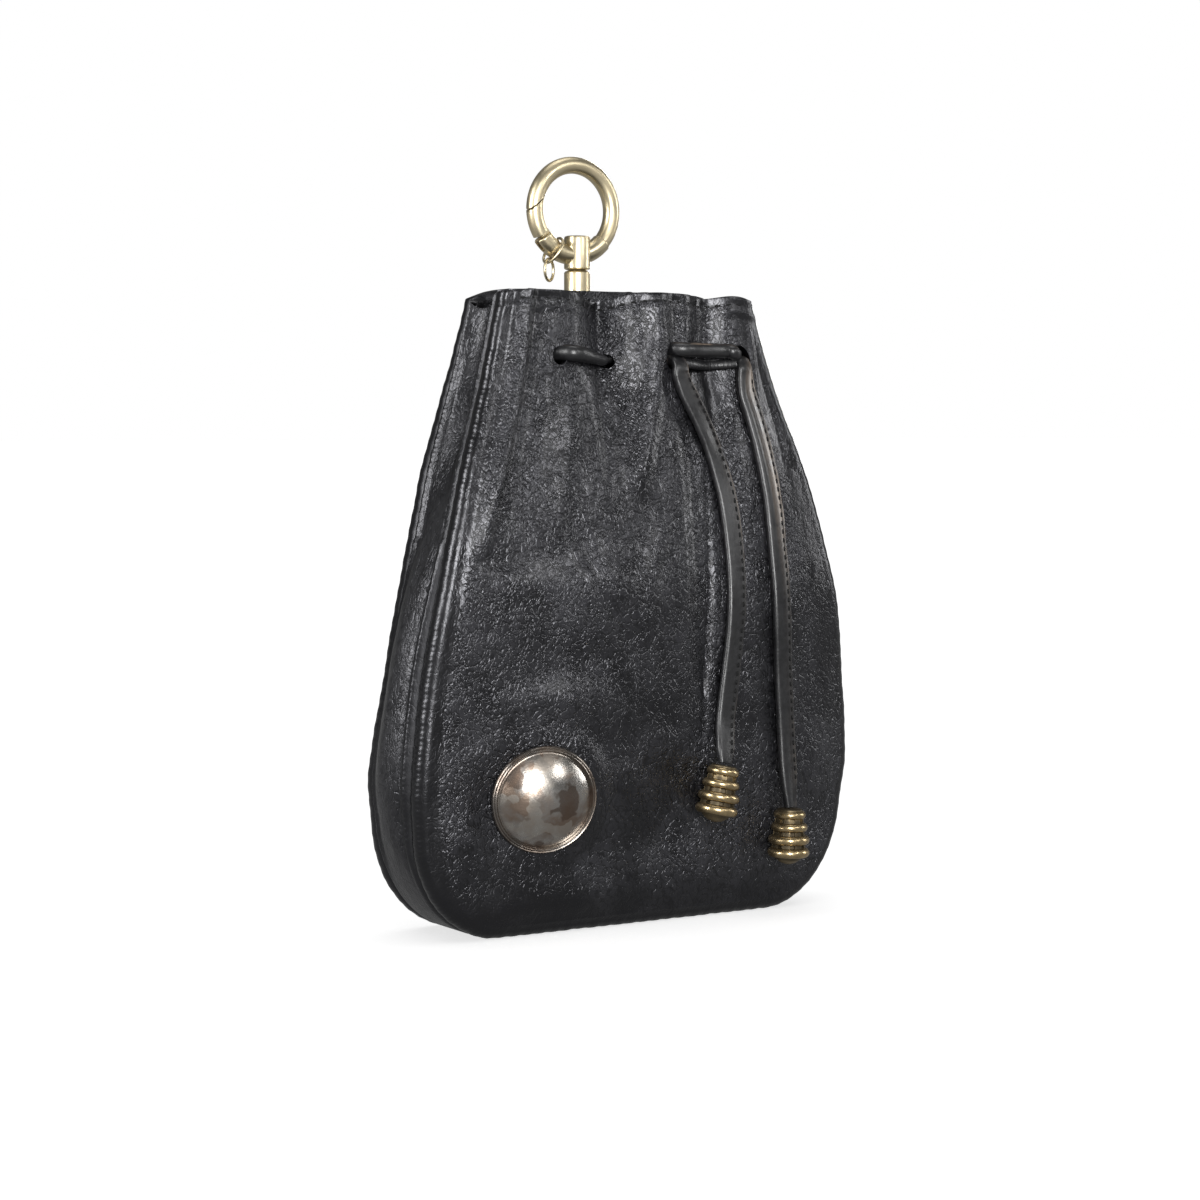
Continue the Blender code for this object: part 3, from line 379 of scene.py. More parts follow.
def edge_depth(z):
    """Distance of a panel's flat edge from the middle plane, before its welt rolls back."""
    return gusset_half(z) + welt_radius(z) * (1 - math.cos(WELT_TURN))


def gather_depth(gathers, x, z):
    total = 0.0
    for across, drift, width, depth, reach in gathers:
        down = (POUCH_HEIGHT - z) / (reach * POUCH_HEIGHT)
        centre = HALF_WIDTH * (across + drift * down)
        spread = width * (1 + 0.5 * np.maximum(down, 0.0))
        total = total + depth * (1 - ease(down)) * np.exp(-((x - centre) / spread) ** 2)
    return total


def dent_depth(dents, x, z):
    total = 0.0
    for across, up, half_x, half_z, depth in dents:
        dx = (x - across * HALF_WIDTH) / (half_x * HALF_WIDTH)
        dz = (z - up * POUCH_HEIGHT) / (half_z * POUCH_HEIGHT)
        total = total + depth * np.exp(-dx * dx - dz * dz)
    return total


def edge_share(x, z):
    """0 in the middle of a panel, 1 at its welt."""
    reach = half_width(np.maximum(z, WELT_RADIUS)) - WELT_RADIUS
    return np.minimum(np.abs(x) / reach, 1.0)


def edge_hold(x, z):
    """1 over a panel's face, 0 at its welt."""
    return ease((1 - edge_share(x, z)) / 0.10) * ease(z / (2.5 * WELT_RADIUS))


def panel_depth(x, z, bulge, gathers, dents):
    """Distance of a panel's outer face from the middle plane."""
    across = 1 - edge_share(x, z) ** 2.8
    up = table_value(BULGE_TABLE, z / POUCH_HEIGHT, 1)
    swell = (bulge - WELT_RADIUS * (1 - math.cos(WELT_TURN))) * up
    relief = gather_depth(gathers, x, z) + dent_depth(dents, x, z)
    return edge_depth(z) + swell * across - relief * edge_hold(x, z)


def bare_front_depth(x, z):
    return lean(z) + panel_depth(x, z, FRONT_BULGE, FRONT_GATHERS, FRONT_DENTS)


def concho_seat():
    """Middle of the leather under the concho, and the slopes of its flat."""
    step = 0.004
    depth = bare_front_depth(CONCHO_X, CONCHO_Z)
    slope_x = (bare_front_depth(CONCHO_X + step, CONCHO_Z)
               - bare_front_depth(CONCHO_X - step, CONCHO_Z)) / (2 * step)
    slope_z = (bare_front_depth(CONCHO_X, CONCHO_Z + step)
               - bare_front_depth(CONCHO_X, CONCHO_Z - step)) / (2 * step)
    return depth, slope_x + math.tan(CONCHO_TURN), slope_z


SEAT = concho_seat()


def concho_share(x, z):
    """1 under the concho, 0 away from it."""
    radius = 0.5 * CONCHO_DIAMETER
    away = np.hypot(x - CONCHO_X, z - CONCHO_Z)
    return 1 - ease((away - 0.95 * radius) / (0.6 * radius))


def front_depth(x, z):
    """Outer face of the front panel, pulled flat under the concho."""
    depth = bare_front_depth(x, z)
    flat = SEAT[0] + SEAT[1] * (x - CONCHO_X) + SEAT[2] * (z - CONCHO_Z)
    return depth + (flat - depth) * concho_share(x, z)


def back_depth(x, z):
    return -lean(z) + panel_depth(x, z, BACK_BULGE, BACK_GATHERS, BACK_DENTS)


def rim_height(x, z, front):
    """Height of a row of a panel, which the rim's notches pull down."""
    near_rim = ease((z / POUCH_HEIGHT - 0.80) / 0.20)
    dips = RIM_DIPS if front else BACK_RIM_DIPS
    drop = 0.0 if front else -BACK_RISE
    for across, width, depth in dips:
        drop = drop + depth * np.exp(-((x - across * HALF_WIDTH) / width) ** 2)
    return z - drop * near_rim


def noise_at(x, y, z, scales, seed):
    """Smooth noise at places, with a size of its own along each axis."""
    sx, sy, sz = scales
    return np.array([
        noise.noise(Vector((a * sx + seed, b * sy, c * sz)))
        for a, b, c in zip(x, y, z)
    ])


def line_at(line, z):
    """Places across of a line in millimetres at heights, with its top and its bottom."""
    across, up = 0.001 * np.array(line[::-1]).T
    return np.interp(z, up, across), up[-1], up[0]


def fold_depth(folds, x, z):
    """Depth of folds that follow their own lines down the leather."""
    total = np.zeros_like(x)
    for width, depth, line in folds:
        centre, top, low = line_at(line, z)
        spread = width * 0.001
        fade = ease((z - low) / (0.25 * (top - low)) + 0.6)
        fade = fade * ease((top - z) / 0.010 + 0.3)
        total += 0.001 * depth * fade * np.exp(-((x - centre) / spread) ** 2)
    return total


def shoulder_height(x, z):
    """A facet that turns to the left beside the welt, and drops on its inner side."""
    crest, _, low = line_at(SHOULDER, z)
    ramp = np.clip((x - crest + SHOULDER_WIDTH) / SHOULDER_WIDTH, 0.0, 1.0) ** 1.15
    drop = 1 - ease((x - crest) / SHOULDER_DROP)
    fade = ease((z - low) / 0.045)
    return SHOULDER_HEIGHT * ramp * drop * fade


def swell_depth(swells, x, z):
    total = np.zeros_like(x)
    for across, up, half_x, half_z, depth in swells:
        dx = (x - 0.001 * across) / (0.001 * half_x)
        dz = (z - 0.001 * up) / (0.001 * half_z)
        total += 0.001 * depth * np.exp(-dx * dx - dz * dz)
    return total


def gap_to_route(x, z, route):
    """Distance from a tail's route, seen from the front."""
    nearest = np.full_like(x, 1.0)
    for (x0, z0), (x1, z1) in zip(route, route[1:]):
        along = np.array((x1 - x0, z1 - z0))
        share = ((x - x0) * along[0] + (z - z0) * along[1]) / along.dot(along)
        share = np.clip(share, 0.0, 1.0)
        nearest = np.minimum(nearest, np.hypot(x - x0 - share * along[0], z - z0 - share * along[1]))
    return nearest


def hem_depth(z):
    """Relief of the turned hem below the rim: a raised band and a groove for its stitches."""
    below = POUCH_HEIGHT - z
    band = -HEM_RAISE * (1 - ease((below - 1.9 * HEM_DEPTH) / 0.0010))
    groove = 0.00060 * np.exp(-((below - HEM_DEPTH) / 0.0005) ** 2)
    return band + groove


def crease_depth(x, y, z, seed):
    """Fine creases of soft leather."""
    large = noise_at(x, y, z, (75, 75, 60), seed)
    middle = noise_at(x, y, z, (190, 190, 150), seed + 7)
    small = noise_at(x, y, z, (420, 420, 300), seed + 13)
    ridged = 1 - 2 * np.abs(middle)
    return CREASES[0] * large + CREASES[1] * ridged + CREASES[2] * small


def front_relief(x, z):
    """What the fine front adds to the depth of the plain one."""
    y = np.zeros_like(x)
    tails = np.minimum(gap_to_route(x, z, LEFT_TAIL_ROUTE), gap_to_route(x, z, RIGHT_TAIL_ROUTE))
    bare = ease((tails - 0.5 * LACE_WIDTH) / 0.004)
    folds = fold_depth(FRONT_FOLDS, x, z) + swell_depth(FRONT_SWELLS, x, z)
    folds = folds - shoulder_height(x, z)
    valley = np.exp(-((x + 0.0095) / 0.0085) ** 2) * ease((z - 0.112) / 0.030)
    second = np.exp(-((x - 0.0195) / 0.0070) ** 2) * ease((z - 0.095) / 0.030)
    pleats = noise_at(x, y, z, (560, 560, 105), 31)
    pleats = pleats + 0.6 * noise_at(x, y, z, (980, 980, 240), 37)
    drawn = FRONT_PLEATS * pleats * np.maximum(valley, 0.6 * second)
    creases = crease_depth(x, y, z, 3)
    calm = 1 - concho_share(x, z)
    near_welt = ease((1 - edge_share(x, z)) / 0.035) * ease(z / (2.5 * WELT_RADIUS))
    relief = (drawn + creases) * calm * edge_hold(x, z)
    return relief + folds * (0.35 + 0.65 * bare) * calm * near_welt + hem_depth(z)


def hem_calm(z):
    return 0.85 * (1 - ease((POUCH_HEIGHT - z - 0.8 * HEM_DEPTH) / 0.0006))


def front_calm(x, z):
    """Where the front's grain is pressed smooth: 0 for full grain, 1 for none."""
    share = edge_share(x, z)
    foot = 0.65 * (1 - ease((z - 0.006) / 0.014))
    patch = 0.9 * np.exp(-((x - 0.0235) / 0.0085) ** 4 - ((z - 0.1480) / 0.0080) ** 4)
    right = 0.8 * ease((share - 0.84) / 0.08) * ease(x / 0.01) * ease((z - 0.05) / 0.03)
    left = 0.85 * ease((share - 0.94) / 0.04) * ease(-x / 0.01)
    return np.maximum.reduce([hem_calm(z), foot, patch, right, left])


def back_calm(x, z):
    return np.maximum(hem_calm(z), 0.7 * ease((edge_share(x, z) - 0.92) / 0.05))


def back_relief(x, z):
    y = np.zeros_like(x)
    pleats = noise_at(x, y, z, (420, 420, 90), 51)
    drawn = BACK_PLEATS * pleats * ease((z - 0.120) / 0.030)
    broad = BACK_WAVES * noise_at(x, y, z, (28, 28, 22), 57)
    relief = drawn + broad + crease_depth(x, y, z, 19)
    behind_tab = np.exp(-(x / (0.9 * TAB_WIDTH)) ** 2) * ease((z - 0.125) / 0.006)
    return relief * edge_hold(x, z) * (1 - behind_tab) + hem_depth(z)


def outline_side(inset, rows, corner_rows):
    """One side of the outline from the rim to the bottom, at a distance inside it."""
    heights = POUCH_HEIGHT - (POUCH_HEIGHT - CORNER_HEIGHT) * np.arange(rows) / rows
    turns = 0.5 * math.pi * np.arange(corner_rows + 1) / corner_rows
    wide = HALF_WIDTH * SIDE_OUTLINE[0][1] - BOTTOM_HALF - inset
    tall = CORNER_HEIGHT - inset
    x = np.concatenate((half_width(heights) - inset, BOTTOM_HALF + wide * np.cos(turns)))
    z = np.concatenate((heights, CORNER_HEIGHT - tall * np.sin(turns)))
    return x, z


def outline(inset, rows, corner_rows, columns):
    """The whole outline, from the left rim round the bottom to the right rim."""
    x, z = outline_side(inset, rows, corner_rows)
    across = BOTTOM_HALF * (2 * np.arange(1, columns) / columns - 1)
    flat = np.full(columns - 1, inset)
    return np.concatenate((-x, across, x[::-1])), np.concatenate((z, flat, z[::-1]))


def run_along(x, z):
    """Distance along an outline from its start to each point."""
    steps = np.hypot(np.diff(x), np.diff(z))
    return np.concatenate(([0.0], np.cumsum(steps)))


def mesh_object(name, points, faces, smooth=True):
    mesh = bpy.data.meshes.new(name)
    mesh.from_pydata([tuple(map(float, p)) for p in points], [], faces)
    mesh.validate()
    if smooth:
        mesh.shade_smooth()
    thing = bpy.data.objects.new(name, mesh)
    bpy.context.scene.collection.objects.link(thing)
    return thing


def grid_faces(rows, columns, start=0, closed=False):
    """Faces of a grid of points, row after row."""
    faces = []
    wide = columns if closed else columns - 1
    for i in range(rows - 1):
        for k in range(wide):
            m = (k + 1) % columns
            a = start + i * columns + k
            b = start + i * columns + m
            faces.append((a, b, b + columns, a + columns))
    return faces


def holes_in(shares, half_x, half_z):
    """Middles and half sizes of the lace's holes in a panel."""
    return [(HALF_WIDTH * share, LACE_LEVEL, wide, tall)
            for share, wide, tall in zip(shares, half_x, half_z)]


def open_holes(x, z, faces, holes):
    """Take the faces inside each hole away and draw the grid to its edge."""
    keep = np.ones(len(faces), dtype=bool)
    corners = np.array(faces)
    for cx, cz, hx, hz in holes:
        away = np.hypot((x - cx) / hx, (z - cz) / hz)
        inside = away[corners].min(axis=1) < 0.86
        keep &= ~inside
        rim = np.unique(corners[inside])
        used = np.unique(corners[keep])
        rim = np.intersect1d(rim, used)
        x[rim] = cx + (x[rim] - cx) / np.maximum(away[rim], 0.2)
        z[rim] = cz + (z[rim] - cz) / np.maximum(away[rim], 0.2)
    return [face for face, kept in zip(faces, keep) if kept]


def add_wall(thing, thickness, round_edge):
    """Give a skin its thickness inwards and round the cut edges."""
    wall = thing.modifiers.new("Leather", "SOLIDIFY")
    wall.thickness = thickness
    wall.offset = -1.0
    wall.use_even_offset = False
    edge = thing.modifiers.new("Edge", "BEVEL")
    edge.width = round_edge
    edge.segments = 3
    edge.limit_method = "ANGLE"
    edge.angle_limit = math.radians(62.0)
    apply_modifiers(thing)


def apply_modifiers(thing):
    """The piece's mesh as its modifiers leave it."""
    graph = bpy.context.evaluated_depsgraph_get()
    graph.update()
    done = bpy.data.meshes.new_from_object(thing.evaluated_get(graph))
    thing.modifiers.clear()
    old = thing.data
    thing.data = done
    done.name = thing.name
    bpy.data.meshes.remove(old)


def make_panel(name, depth_at, relief_at, front, holes):
    """A panel of fine leather, with a welt that rolls back to the seam."""
    toward = -1.0 if front else 1.0
    columns = FINE_COLUMNS
    x_side, z_side = outline_side(WELT_RADIUS, FINE_ROWS, FINE_CORNER_ROWS)
    shares = 2 * np.arange(columns + 1) / columns - 1
    x = np.outer(x_side, shares).ravel()
    z = np.repeat(z_side, columns + 1)
    rows = len(x_side)
    faces = open_holes(x, z, grid_faces(rows, columns + 1), holes)
    depth = depth_at(x, z) - relief_at(x, z)
    points = [np.stack((x, toward * depth, rim_height(x, z, front)), axis=1)]
    side = [i * (columns + 1) for i in range(rows)]
    low = (rows - 1) * (columns + 1)
    ring = side + [low + k for k in range(1, columns)] + [i + columns for i in side[::-1]]
    x_in, z_in = outline(WELT_RADIUS, FINE_ROWS, FINE_CORNER_ROWS, columns)
    x_out, z_out = outline(0.0, FINE_ROWS, FINE_CORNER_ROWS, columns)
    along = run_along(x_out, z_out)
    radius = welt_radius(z_in)
    start = len(points[0])
    hem = hem_depth(z_in)
    seam = [np.zeros(start)]
    calm = [front_calm(x, z) if front else back_calm(x, z)]
    runs = [np.zeros(start)]
    runs[0][ring] = along
    for step in range(1, FINE_WELT_ROWS + 1):
        turn = WELT_TURN * step / FINE_WELT_ROWS
        pucker = PUCKER_DEPTH * np.sin(2 * math.pi * along / PUCKER_PITCH) * math.sin(turn)
        sag = WELT_SAG * noise_at(x_out, 0 * x_out, z_out, (130, 1, 130), 71 if front else 73)
        out = 1 - (1 - math.sin(turn)) * radius / WELT_RADIUS
        out = out + (pucker + sag * math.sin(turn)) / WELT_RADIUS
        y = edge_depth(z_in) - radius * (1 - math.cos(turn)) - hem * (1 - turn / WELT_TURN)
        px = x_in + (x_out - x_in) * out
        pz = z_in + (z_out - z_in) * out
        place = np.stack((px, toward * y - lean(z_in), rim_height(px, pz, front)), axis=1)
        place[:, 2] = np.maximum(place[:, 2], 0.0)
        points.append(place)
        seam.append(np.full(len(px), turn / WELT_TURN))
        calm.append(np.full(len(px), 0.85))
        runs.append(along)
        new_ring = [start + i for i in range(len(px))]
        start += len(px)
        faces += [(ring[i], new_ring[i], new_ring[i + 1], ring[i + 1])
                  for i in range(len(ring) - 1)]
        ring = new_ring
    thing = mesh_object(name, np.concatenate(points), faces)
    set_attribute(thing, "seam", np.concatenate(seam))
    set_attribute(thing, "run", np.concatenate(runs) / RIB_PITCH)
    set_attribute(thing, "calm", np.concatenate(calm))
    face_out(thing, Vector((0.0, toward, 0.0)))
    add_wall(thing, LEATHER, CUT_EDGE_ROUND)
    return thing


def face_out(thing, outward=None, chosen=0):
    """Make the faces agree, and turn an open skin over if a chosen face looks the wrong way."""
    bm = bmesh.new()
    bm.from_mesh(thing.data)
    bmesh.ops.recalc_face_normals(bm, faces=bm.faces)
    bm.faces.ensure_lookup_table()
    if outward is not None and bm.faces[chosen].normal.dot(outward) < 0:
        bmesh.ops.reverse_faces(bm, faces=bm.faces)
    bm.to_mesh(thing.data)
    bm.free()


def make_gusset(name):
    """The strip between the two panels, folded in near the mouth and flat below."""
    columns = FINE_COLUMNS
    x_out, z_out = outline(0.0, FINE_ROWS, FINE_CORNER_ROWS, columns)
    x_in, z_in = outline(WELT_RADIUS, FINE_ROWS, FINE_CORNER_ROWS, columns)
    away_x = (x_out - x_in) / WELT_RADIUS
    away_z = (z_out - z_in) / WELT_RADIUS
    edge_inset = welt_radius(z_out) * (1 - math.sin(WELT_TURN))
    half = gusset_half(z_out) + SEAM_TUCK
    side_share = ease(z_out / CORNER_HEIGHT * 1.2 - 0.2)
    swell = gusset_swell(z_out) * side_share
    along = run_along(x_out, z_out)
    rows, seam, runs = [], [], []
    for i in range(FINE_GUSSET_STEPS + 1):
        share = 2 * i / FINE_GUSSET_STEPS - 1
        y = half * share
        inward = 1 - abs(share)
        round_across = 1 - (1 - inward) ** 2.2
        fold_across = float(ease((inward - 0.25) / 0.75))
        across = np.where(swell < 0.0, fold_across, round_across)
        flat = -edge_inset * (1 - ease(4 * inward))
        offset = -edge_inset + (edge_inset + swell) * across
        offset = flat * (1 - side_share) + offset * side_share
        bead = math.exp(-((inward - 0.16) / 0.075) ** 2)
        groove = math.exp(-((inward - 0.33) / 0.05) ** 2)
        pucker = GUSSET_PUCKER * np.sin(2 * math.pi * along / PUCKER_PITCH + 0.9) * bead
        wrinkle = crease_depth(x_out, y, z_out, 83) * ease(3 * inward - 0.5)
        long_folds = noise_at(x_out, y, z_out, (50, 260, 38), 89) * ease(3 * inward - 0.5)
        relief = GUSSET_BEAD * bead - GUSSET_GROOVE * groove + pucker
        relief = relief + GUSSET_LONG_FOLDS * long_folds - wrinkle
        offset = offset + relief * side_share
        px = x_out + away_x * offset
        pz = z_out + away_z * offset
        front_rim = rim_height(x_out, pz, True)
        back_rim = rim_height(x_out, pz, False)
        back_share = 0.5 * (1 + share)
        near_rim = ease((z_out / POUCH_HEIGHT - 0.88) / 0.12)
        sunk = GUSSET_RIM_SUNK * float(ease(2.4 * inward)) * near_rim
        pz = np.maximum(front_rim * (1 - back_share) + back_rim * back_share - sunk, 0.0)
        rows.append(np.stack((px, y - lean(z_out), pz), axis=1))
        seam.append(np.full(len(px), 1 - 0.4 * float(ease(inward / 0.20))
                            - 0.6 * float(ease((inward - 0.15) / 0.2))))
        runs.append(along)
    count = len(x_out)
    thing = mesh_object(name, np.concatenate(rows), grid_faces(len(rows), count))
    set_attribute(thing, "seam", np.concatenate(seam))
    set_attribute(thing, "run", np.concatenate(runs) / RIB_PITCH)
    face_out(thing, Vector((0.0, 0.0, -1.0)), count // 2)
    add_wall(thing, LEATHER, CUT_EDGE_ROUND)
    return thing


def smooth_route(points, per_span):
    """Points of a smooth curve through the route's own points."""
    route = [Vector(p) for p in points]
    result = []
    for i in range(len(route) - 1):
        before = route[max(i - 1, 0)]
        start, end = route[i], route[i + 1]
        after = route[min(i + 2, len(route) - 1)]
        for k in range(per_span):
            t = k / per_span
            result.append(0.5 * (2 * start + (end - before) * t
                                 + (2 * before - 5 * start + 4 * end - after) * t * t
                                 + (3 * start - before - 3 * end + after) * t ** 3))
    result.append(route[-1])
    return result


def front_point(x, z, out):
    """A point at a distance outside the front's face, measured square to it."""
    step = 0.001
    slope_x = (front_depth(x + step, z) - front_depth(x - step, z)) / (2 * step)
    slope_z = (front_depth(x, z + step) - front_depth(x, z - step)) / (2 * step)
    normal = Vector((-float(slope_x), -1.0, -float(slope_z))).normalized()
    return Vector((x, -float(front_depth(x, z)), z)) + normal * out, normal


def lace_route():
    """The drawstring, from its left end inside round the mouth to its right end."""
    radius = 0.5 * LACE_DIAMETER
    out = radius + 3 * CLEARANCE
    inside = -LEATHER - radius - 4 * CLEARANCE
    depths = {
        "out": out, "nearly out": 0.95 * out, "middle": 0.5 * (out + inside),
        "nearly in": 0.95 * inside, "in": inside, "deep in": 1.1 * inside,
    }
    step = 0.5 * LACE_DIAMETER
    side = float(half_width(LACE_LEVEL)) - GUSSET_FOLD - 2 * LEATHER - 1.2 * LACE_DIAMETER
    gusset_at = float(gusset_half(LACE_LEVEL))

    def front(hole, shift, rise, depth):
        x = HALF_WIDTH * FRONT_HOLES[hole] + shift * LACE_REACH
        before, here, after = (float(front_depth(at, LACE_LEVEL)) for at in (x - step, x, x + step))
        slope = (after - before) / (2 * step)
        y = -here - depths[depth] * math.sqrt(1 + slope * slope)
        return (x, y, LACE_LEVEL + rise * LANE)

    def back(hole, shift, depth):
        x = HALF_WIDTH * BACK_HOLES[hole] + shift * LACE_REACH
        return (x, float(back_depth(x, LACE_LEVEL)) + depths[depth], LACE_LEVEL)

    route = [front(*stop) for stop in LACE_LEFT_STOPS]
    route += [(-side, -0.3 * gusset_at, LACE_LEVEL), (-side, 0.3 * gusset_at, LACE_LEVEL)]
    route += [back(*stop) for stop in LACE_BACK_STOPS]
    route += [(side, 0.4 * gusset_at, LACE_LEVEL), (side, -0.1 * gusset_at, LACE_LEVEL + LANE)]
    return route + [front(*stop) for stop in LACE_RIGHT_STOPS]


def direction_at(points, i):
    return (points[min(i + 1, len(points) - 1)] - points[max(i - 1, 0)]).normalized()


def sweep(name, points, sides, section_at):
    """A closed tube. section_at gives each ring's places from its middle, side and up."""
    rings = []
    last = len(points) - 1
    for i, point in enumerate(points):
        rings += [tuple(p) for p in section_at(i, point, direction_at(points, i))]
    faces = grid_faces(len(points), sides, closed=True)
    faces.append(tuple(range(sides)))
    faces.append(tuple(last * sides + k for k in range(sides)))
    thing = mesh_object(name, rings, faces)
    face_out(thing)
    thing.data.set_sharp_from_angle(angle=math.radians(60.0))
    return thing


def set_attribute(thing, name, values):
    """A number on each point, which the material reads."""
    field = thing.data.attributes.new(name, "FLOAT", "POINT")
    field.data.foreach_set("value", np.asarray(values, dtype=np.float32))


def thinned(point):
    """Share of the lace's thickness: it thins towards the middle of the front."""
    if point.y > 0 or point.x > 0:
        return 1.0
    return 1.08 - 0.34 * float(ease((point.x + 0.022) / 0.014))


def make_band():
    """The puckered band below the lace, between the tails' holes."""
    level = LACE_LEVEL - 0.75 * LANE
    steps = 60
    xs = np.linspace(BAND_START, BAND_END, steps)
    places = [front_point(x, level - BAND_SAG * math.sin(math.pi * i / (steps - 1)), BAND_OUT)
              for i, x in enumerate(xs)]
    points = [place for place, _ in places]
    sides = 14

    def section(i, point, along):
        out = places[i][1]
        up = out.cross(along).normalized()
        pinch = 1 - 0.16 * math.cos(2 * math.pi * (xs[i] - BAND_START) / BAND_PUCKER) ** 6
        ring = []
        for k in range(sides):
            turn = 2 * math.pi * k / sides
            fold = 1 - 0.25 * math.exp(-((turn - 1.2) / 0.3) ** 2)
            ring.append(point + up * (math.cos(turn) * BAND_HALF * pinch)
                        + out * (math.sin(turn) * BAND_LIFT * pinch * fold))
        return ring

    return sweep("band_below_lace", points, sides, section)


def make_lace():
    """The rolled lace round the mouth, with its raw edge on the upper side."""
    points = smooth_route(lace_route(), 10)
    radius = 0.54 * LACE_DIAMETER
    sides = 18
    raw = []
    carried = [Vector((0.0, 0.0, 1.0))]

    def section(i, point, along):
        up = carried[0] - along * carried[0].dot(along)
        up.normalize()
        carried[0] = up
        side = along.cross(up)
        ring = []
        for k in range(sides):
            turn = 2 * math.pi * k / sides
            seam = math.exp(-((turn - RAW_TURN) / 0.20) ** 2)
            grain = noise.noise(Vector((i * 0.35, 2.0 * math.cos(turn), 2.0 * math.sin(turn))))
            size = radius * (1 - 0.13 * seam + 0.07 * grain) * thinned(point)
            ring.append(point + side * math.cos(turn) * size + up * math.sin(turn) * size * 1.04)
            raw.append(0.7 * seam if RAW_START < point.x < RAW_END and point.y < 0 else 0.1 * seam)
        return ring

    thing = sweep("lace_round_mouth", points, sides, section)
    set_attribute(thing, "raw_edge", raw)
    return thing


def tail_line(route, lean_angle):
    """Points and normals of a tail's middle line, and its bead's top."""
    radius = 0.5 * BEAD_DIAMETER
    x, z = route[-1]
    foot_x = x + math.sin(lean_angle) * BEAD_LENGTH
    foot_z = z - math.cos(lean_angle) * BEAD_LENGTH
    bead_middle, _ = front_point(0.5 * (x + foot_x), 0.5 * (z + foot_z), radius + CLEARANCE)
    flat = smooth_route([(a, 0.0, b) for a, b in route], 10)
    hole_z = LACE_LEVEL - 0.5 * LANE
    mouth, outward = front_point(route[0][0], hole_z, 0.2 * LACE_THICKNESS)
    lip, _ = front_point(route[0][0], 0.5 * (hole_z + route[0][1]), 0.8 * LACE_THICKNESS)
    inside = mouth - outward * (1.6 * LEATHER) + Vector((0.0, 0.0, 0.0012))
    points, normals = [], []
    for i, place in enumerate(flat):
        point, normal = front_point(place.x, place.z, 0.5 * LACE_THICKNESS + 2 * CLEARANCE)
        rise = float(ease((i / (len(flat) - 1) - TAIL_RISE_START) / (1 - TAIL_RISE_START)))
        point.y += (bead_middle.y - point.y) * rise
        points.append(point)
        normals.append(normal)
    lead = smooth_route([inside, mouth, lip, points[0], points[10]], 6)[:TAIL_LEAD]
    lift = Vector((0.0, -0.6, 0.8))
    leaning = [normals[0].lerp(lift, 1 - i / TAIL_LEAD).normalized() for i in range(TAIL_LEAD)]
    tilt = 0.5 * LACE_WIDTH * abs(math.sin(lean_angle))
    top = Vector((x, bead_middle.y, z - 2 * CLEARANCE - 0.3 * tilt))
    return lead + points, leaning + normals, top


# Section of a folded lace: across and up as shares of its half sizes, and how raw it is
TAIL_SECTION = (
    (-1.00, 0.00, 0.0), (-0.96, 0.52, 0.0), (-0.84, 0.88, 0.0), (-0.60, 1.00, 0.0),
    (0.00, 0.94, 0.0), (0.50, 0.90, 0.0), (0.66, 0.84, 0.0), (0.82, 0.98, 0.0),
    (0.97, 0.84, 0.6), (1.00, 0.42, 1.0), (0.90, 0.00, 0.5), (1.00, -0.42, 1.0),
    (0.97, -0.84, 0.6), (0.82, -1.00, 0.0), (0.00, -0.96, 0.0), (-0.60, -1.00, 0.0),
    (-0.84, -0.88, 0.0), (-0.96, -0.52, 0.0),
)

# The same where the fold stands open and shows the raw inside
OPEN_SECTION = (
    (-1.00, 0.00, 0.0), (-0.96, 0.52, 0.0), (-0.84, 0.95, 0.0), (-0.56, 1.12, 0.0),
    (-0.26, 0.92, 0.0), (-0.12, 0.62, 0.30), (0.34, 0.60, 0.38), (0.46, 0.86, 0.9),
    (0.66, 1.00, 0.0), (1.00, 0.62, 0.8), (0.90, 0.00, 0.2), (1.00, -0.42, 0.9),
    (0.97, -0.84, 0.6), (0.82, -1.00, 0.0), (0.00, -0.96, 0.0), (-0.60, -1.00, 0.0),
    (-0.84, -0.88, 0.0), (-0.96, -0.52, 0.0),
)


def tail_frame(points, normals, i, twist):
    """Directions across a tail and out of its face at one of its points."""
    along = direction_at(points, i)
    side = along.cross(normals[i]).normalized() * -1.0
    up = along.cross(side)
    if up.dot(normals[i]) < 0:
        up = -up
    turn = twist * math.sin(math.pi * i / (len(points) - 1))
    return side * math.cos(turn) + up * math.sin(turn), up * math.cos(turn) - side * math.sin(turn)


def make_tail(name, points, normals, twist, open_share):
    """A folded flat lace, its raw edges together on one side."""
    half, lift = 0.5 * LACE_WIDTH, 0.5 * LACE_THICKNESS
    raw = []
    last = len(points) - 1

    def section(i, point, along):
        across, above = tail_frame(points, normals, i, twist)
        narrow = 1 - 0.35 * float(ease((i - 0.93 * last) / (0.07 * last)))
        rolled = 1 - float(ease(i / 34))
        narrow = narrow * (1 - 0.30 * rolled)
        worn = (0.6 + 0.4 * math.sin(i * 0.13)) * (1 - 0.8 * float(ease(i / last * 2.0 - 0.5)))
        ring = []
        opened = open_share * (1 - rolled) * (1 - 0.6 * float(ease(i / last * 2.2 - 0.6)))
        for shut, wide_open in zip(TAIL_SECTION, OPEN_SECTION):
            a, b, bare = (p + (q - p) * opened for p, q in zip(shut, wide_open))
            grain = noise.noise(Vector((i * 0.22, a * 2.0, b * 2.0)))
            wide = half * a * narrow * (1 + 0.05 * grain)
            high = lift * b * (1 + 0.06 * grain + 0.35 * rolled)
            ring.append(point + across * wide + above * high)
            raw.append(bare * worn)
        return ring

    thing = sweep(name, points, len(TAIL_SECTION), section)
    set_attribute(thing, "raw_edge", raw)
    return thing


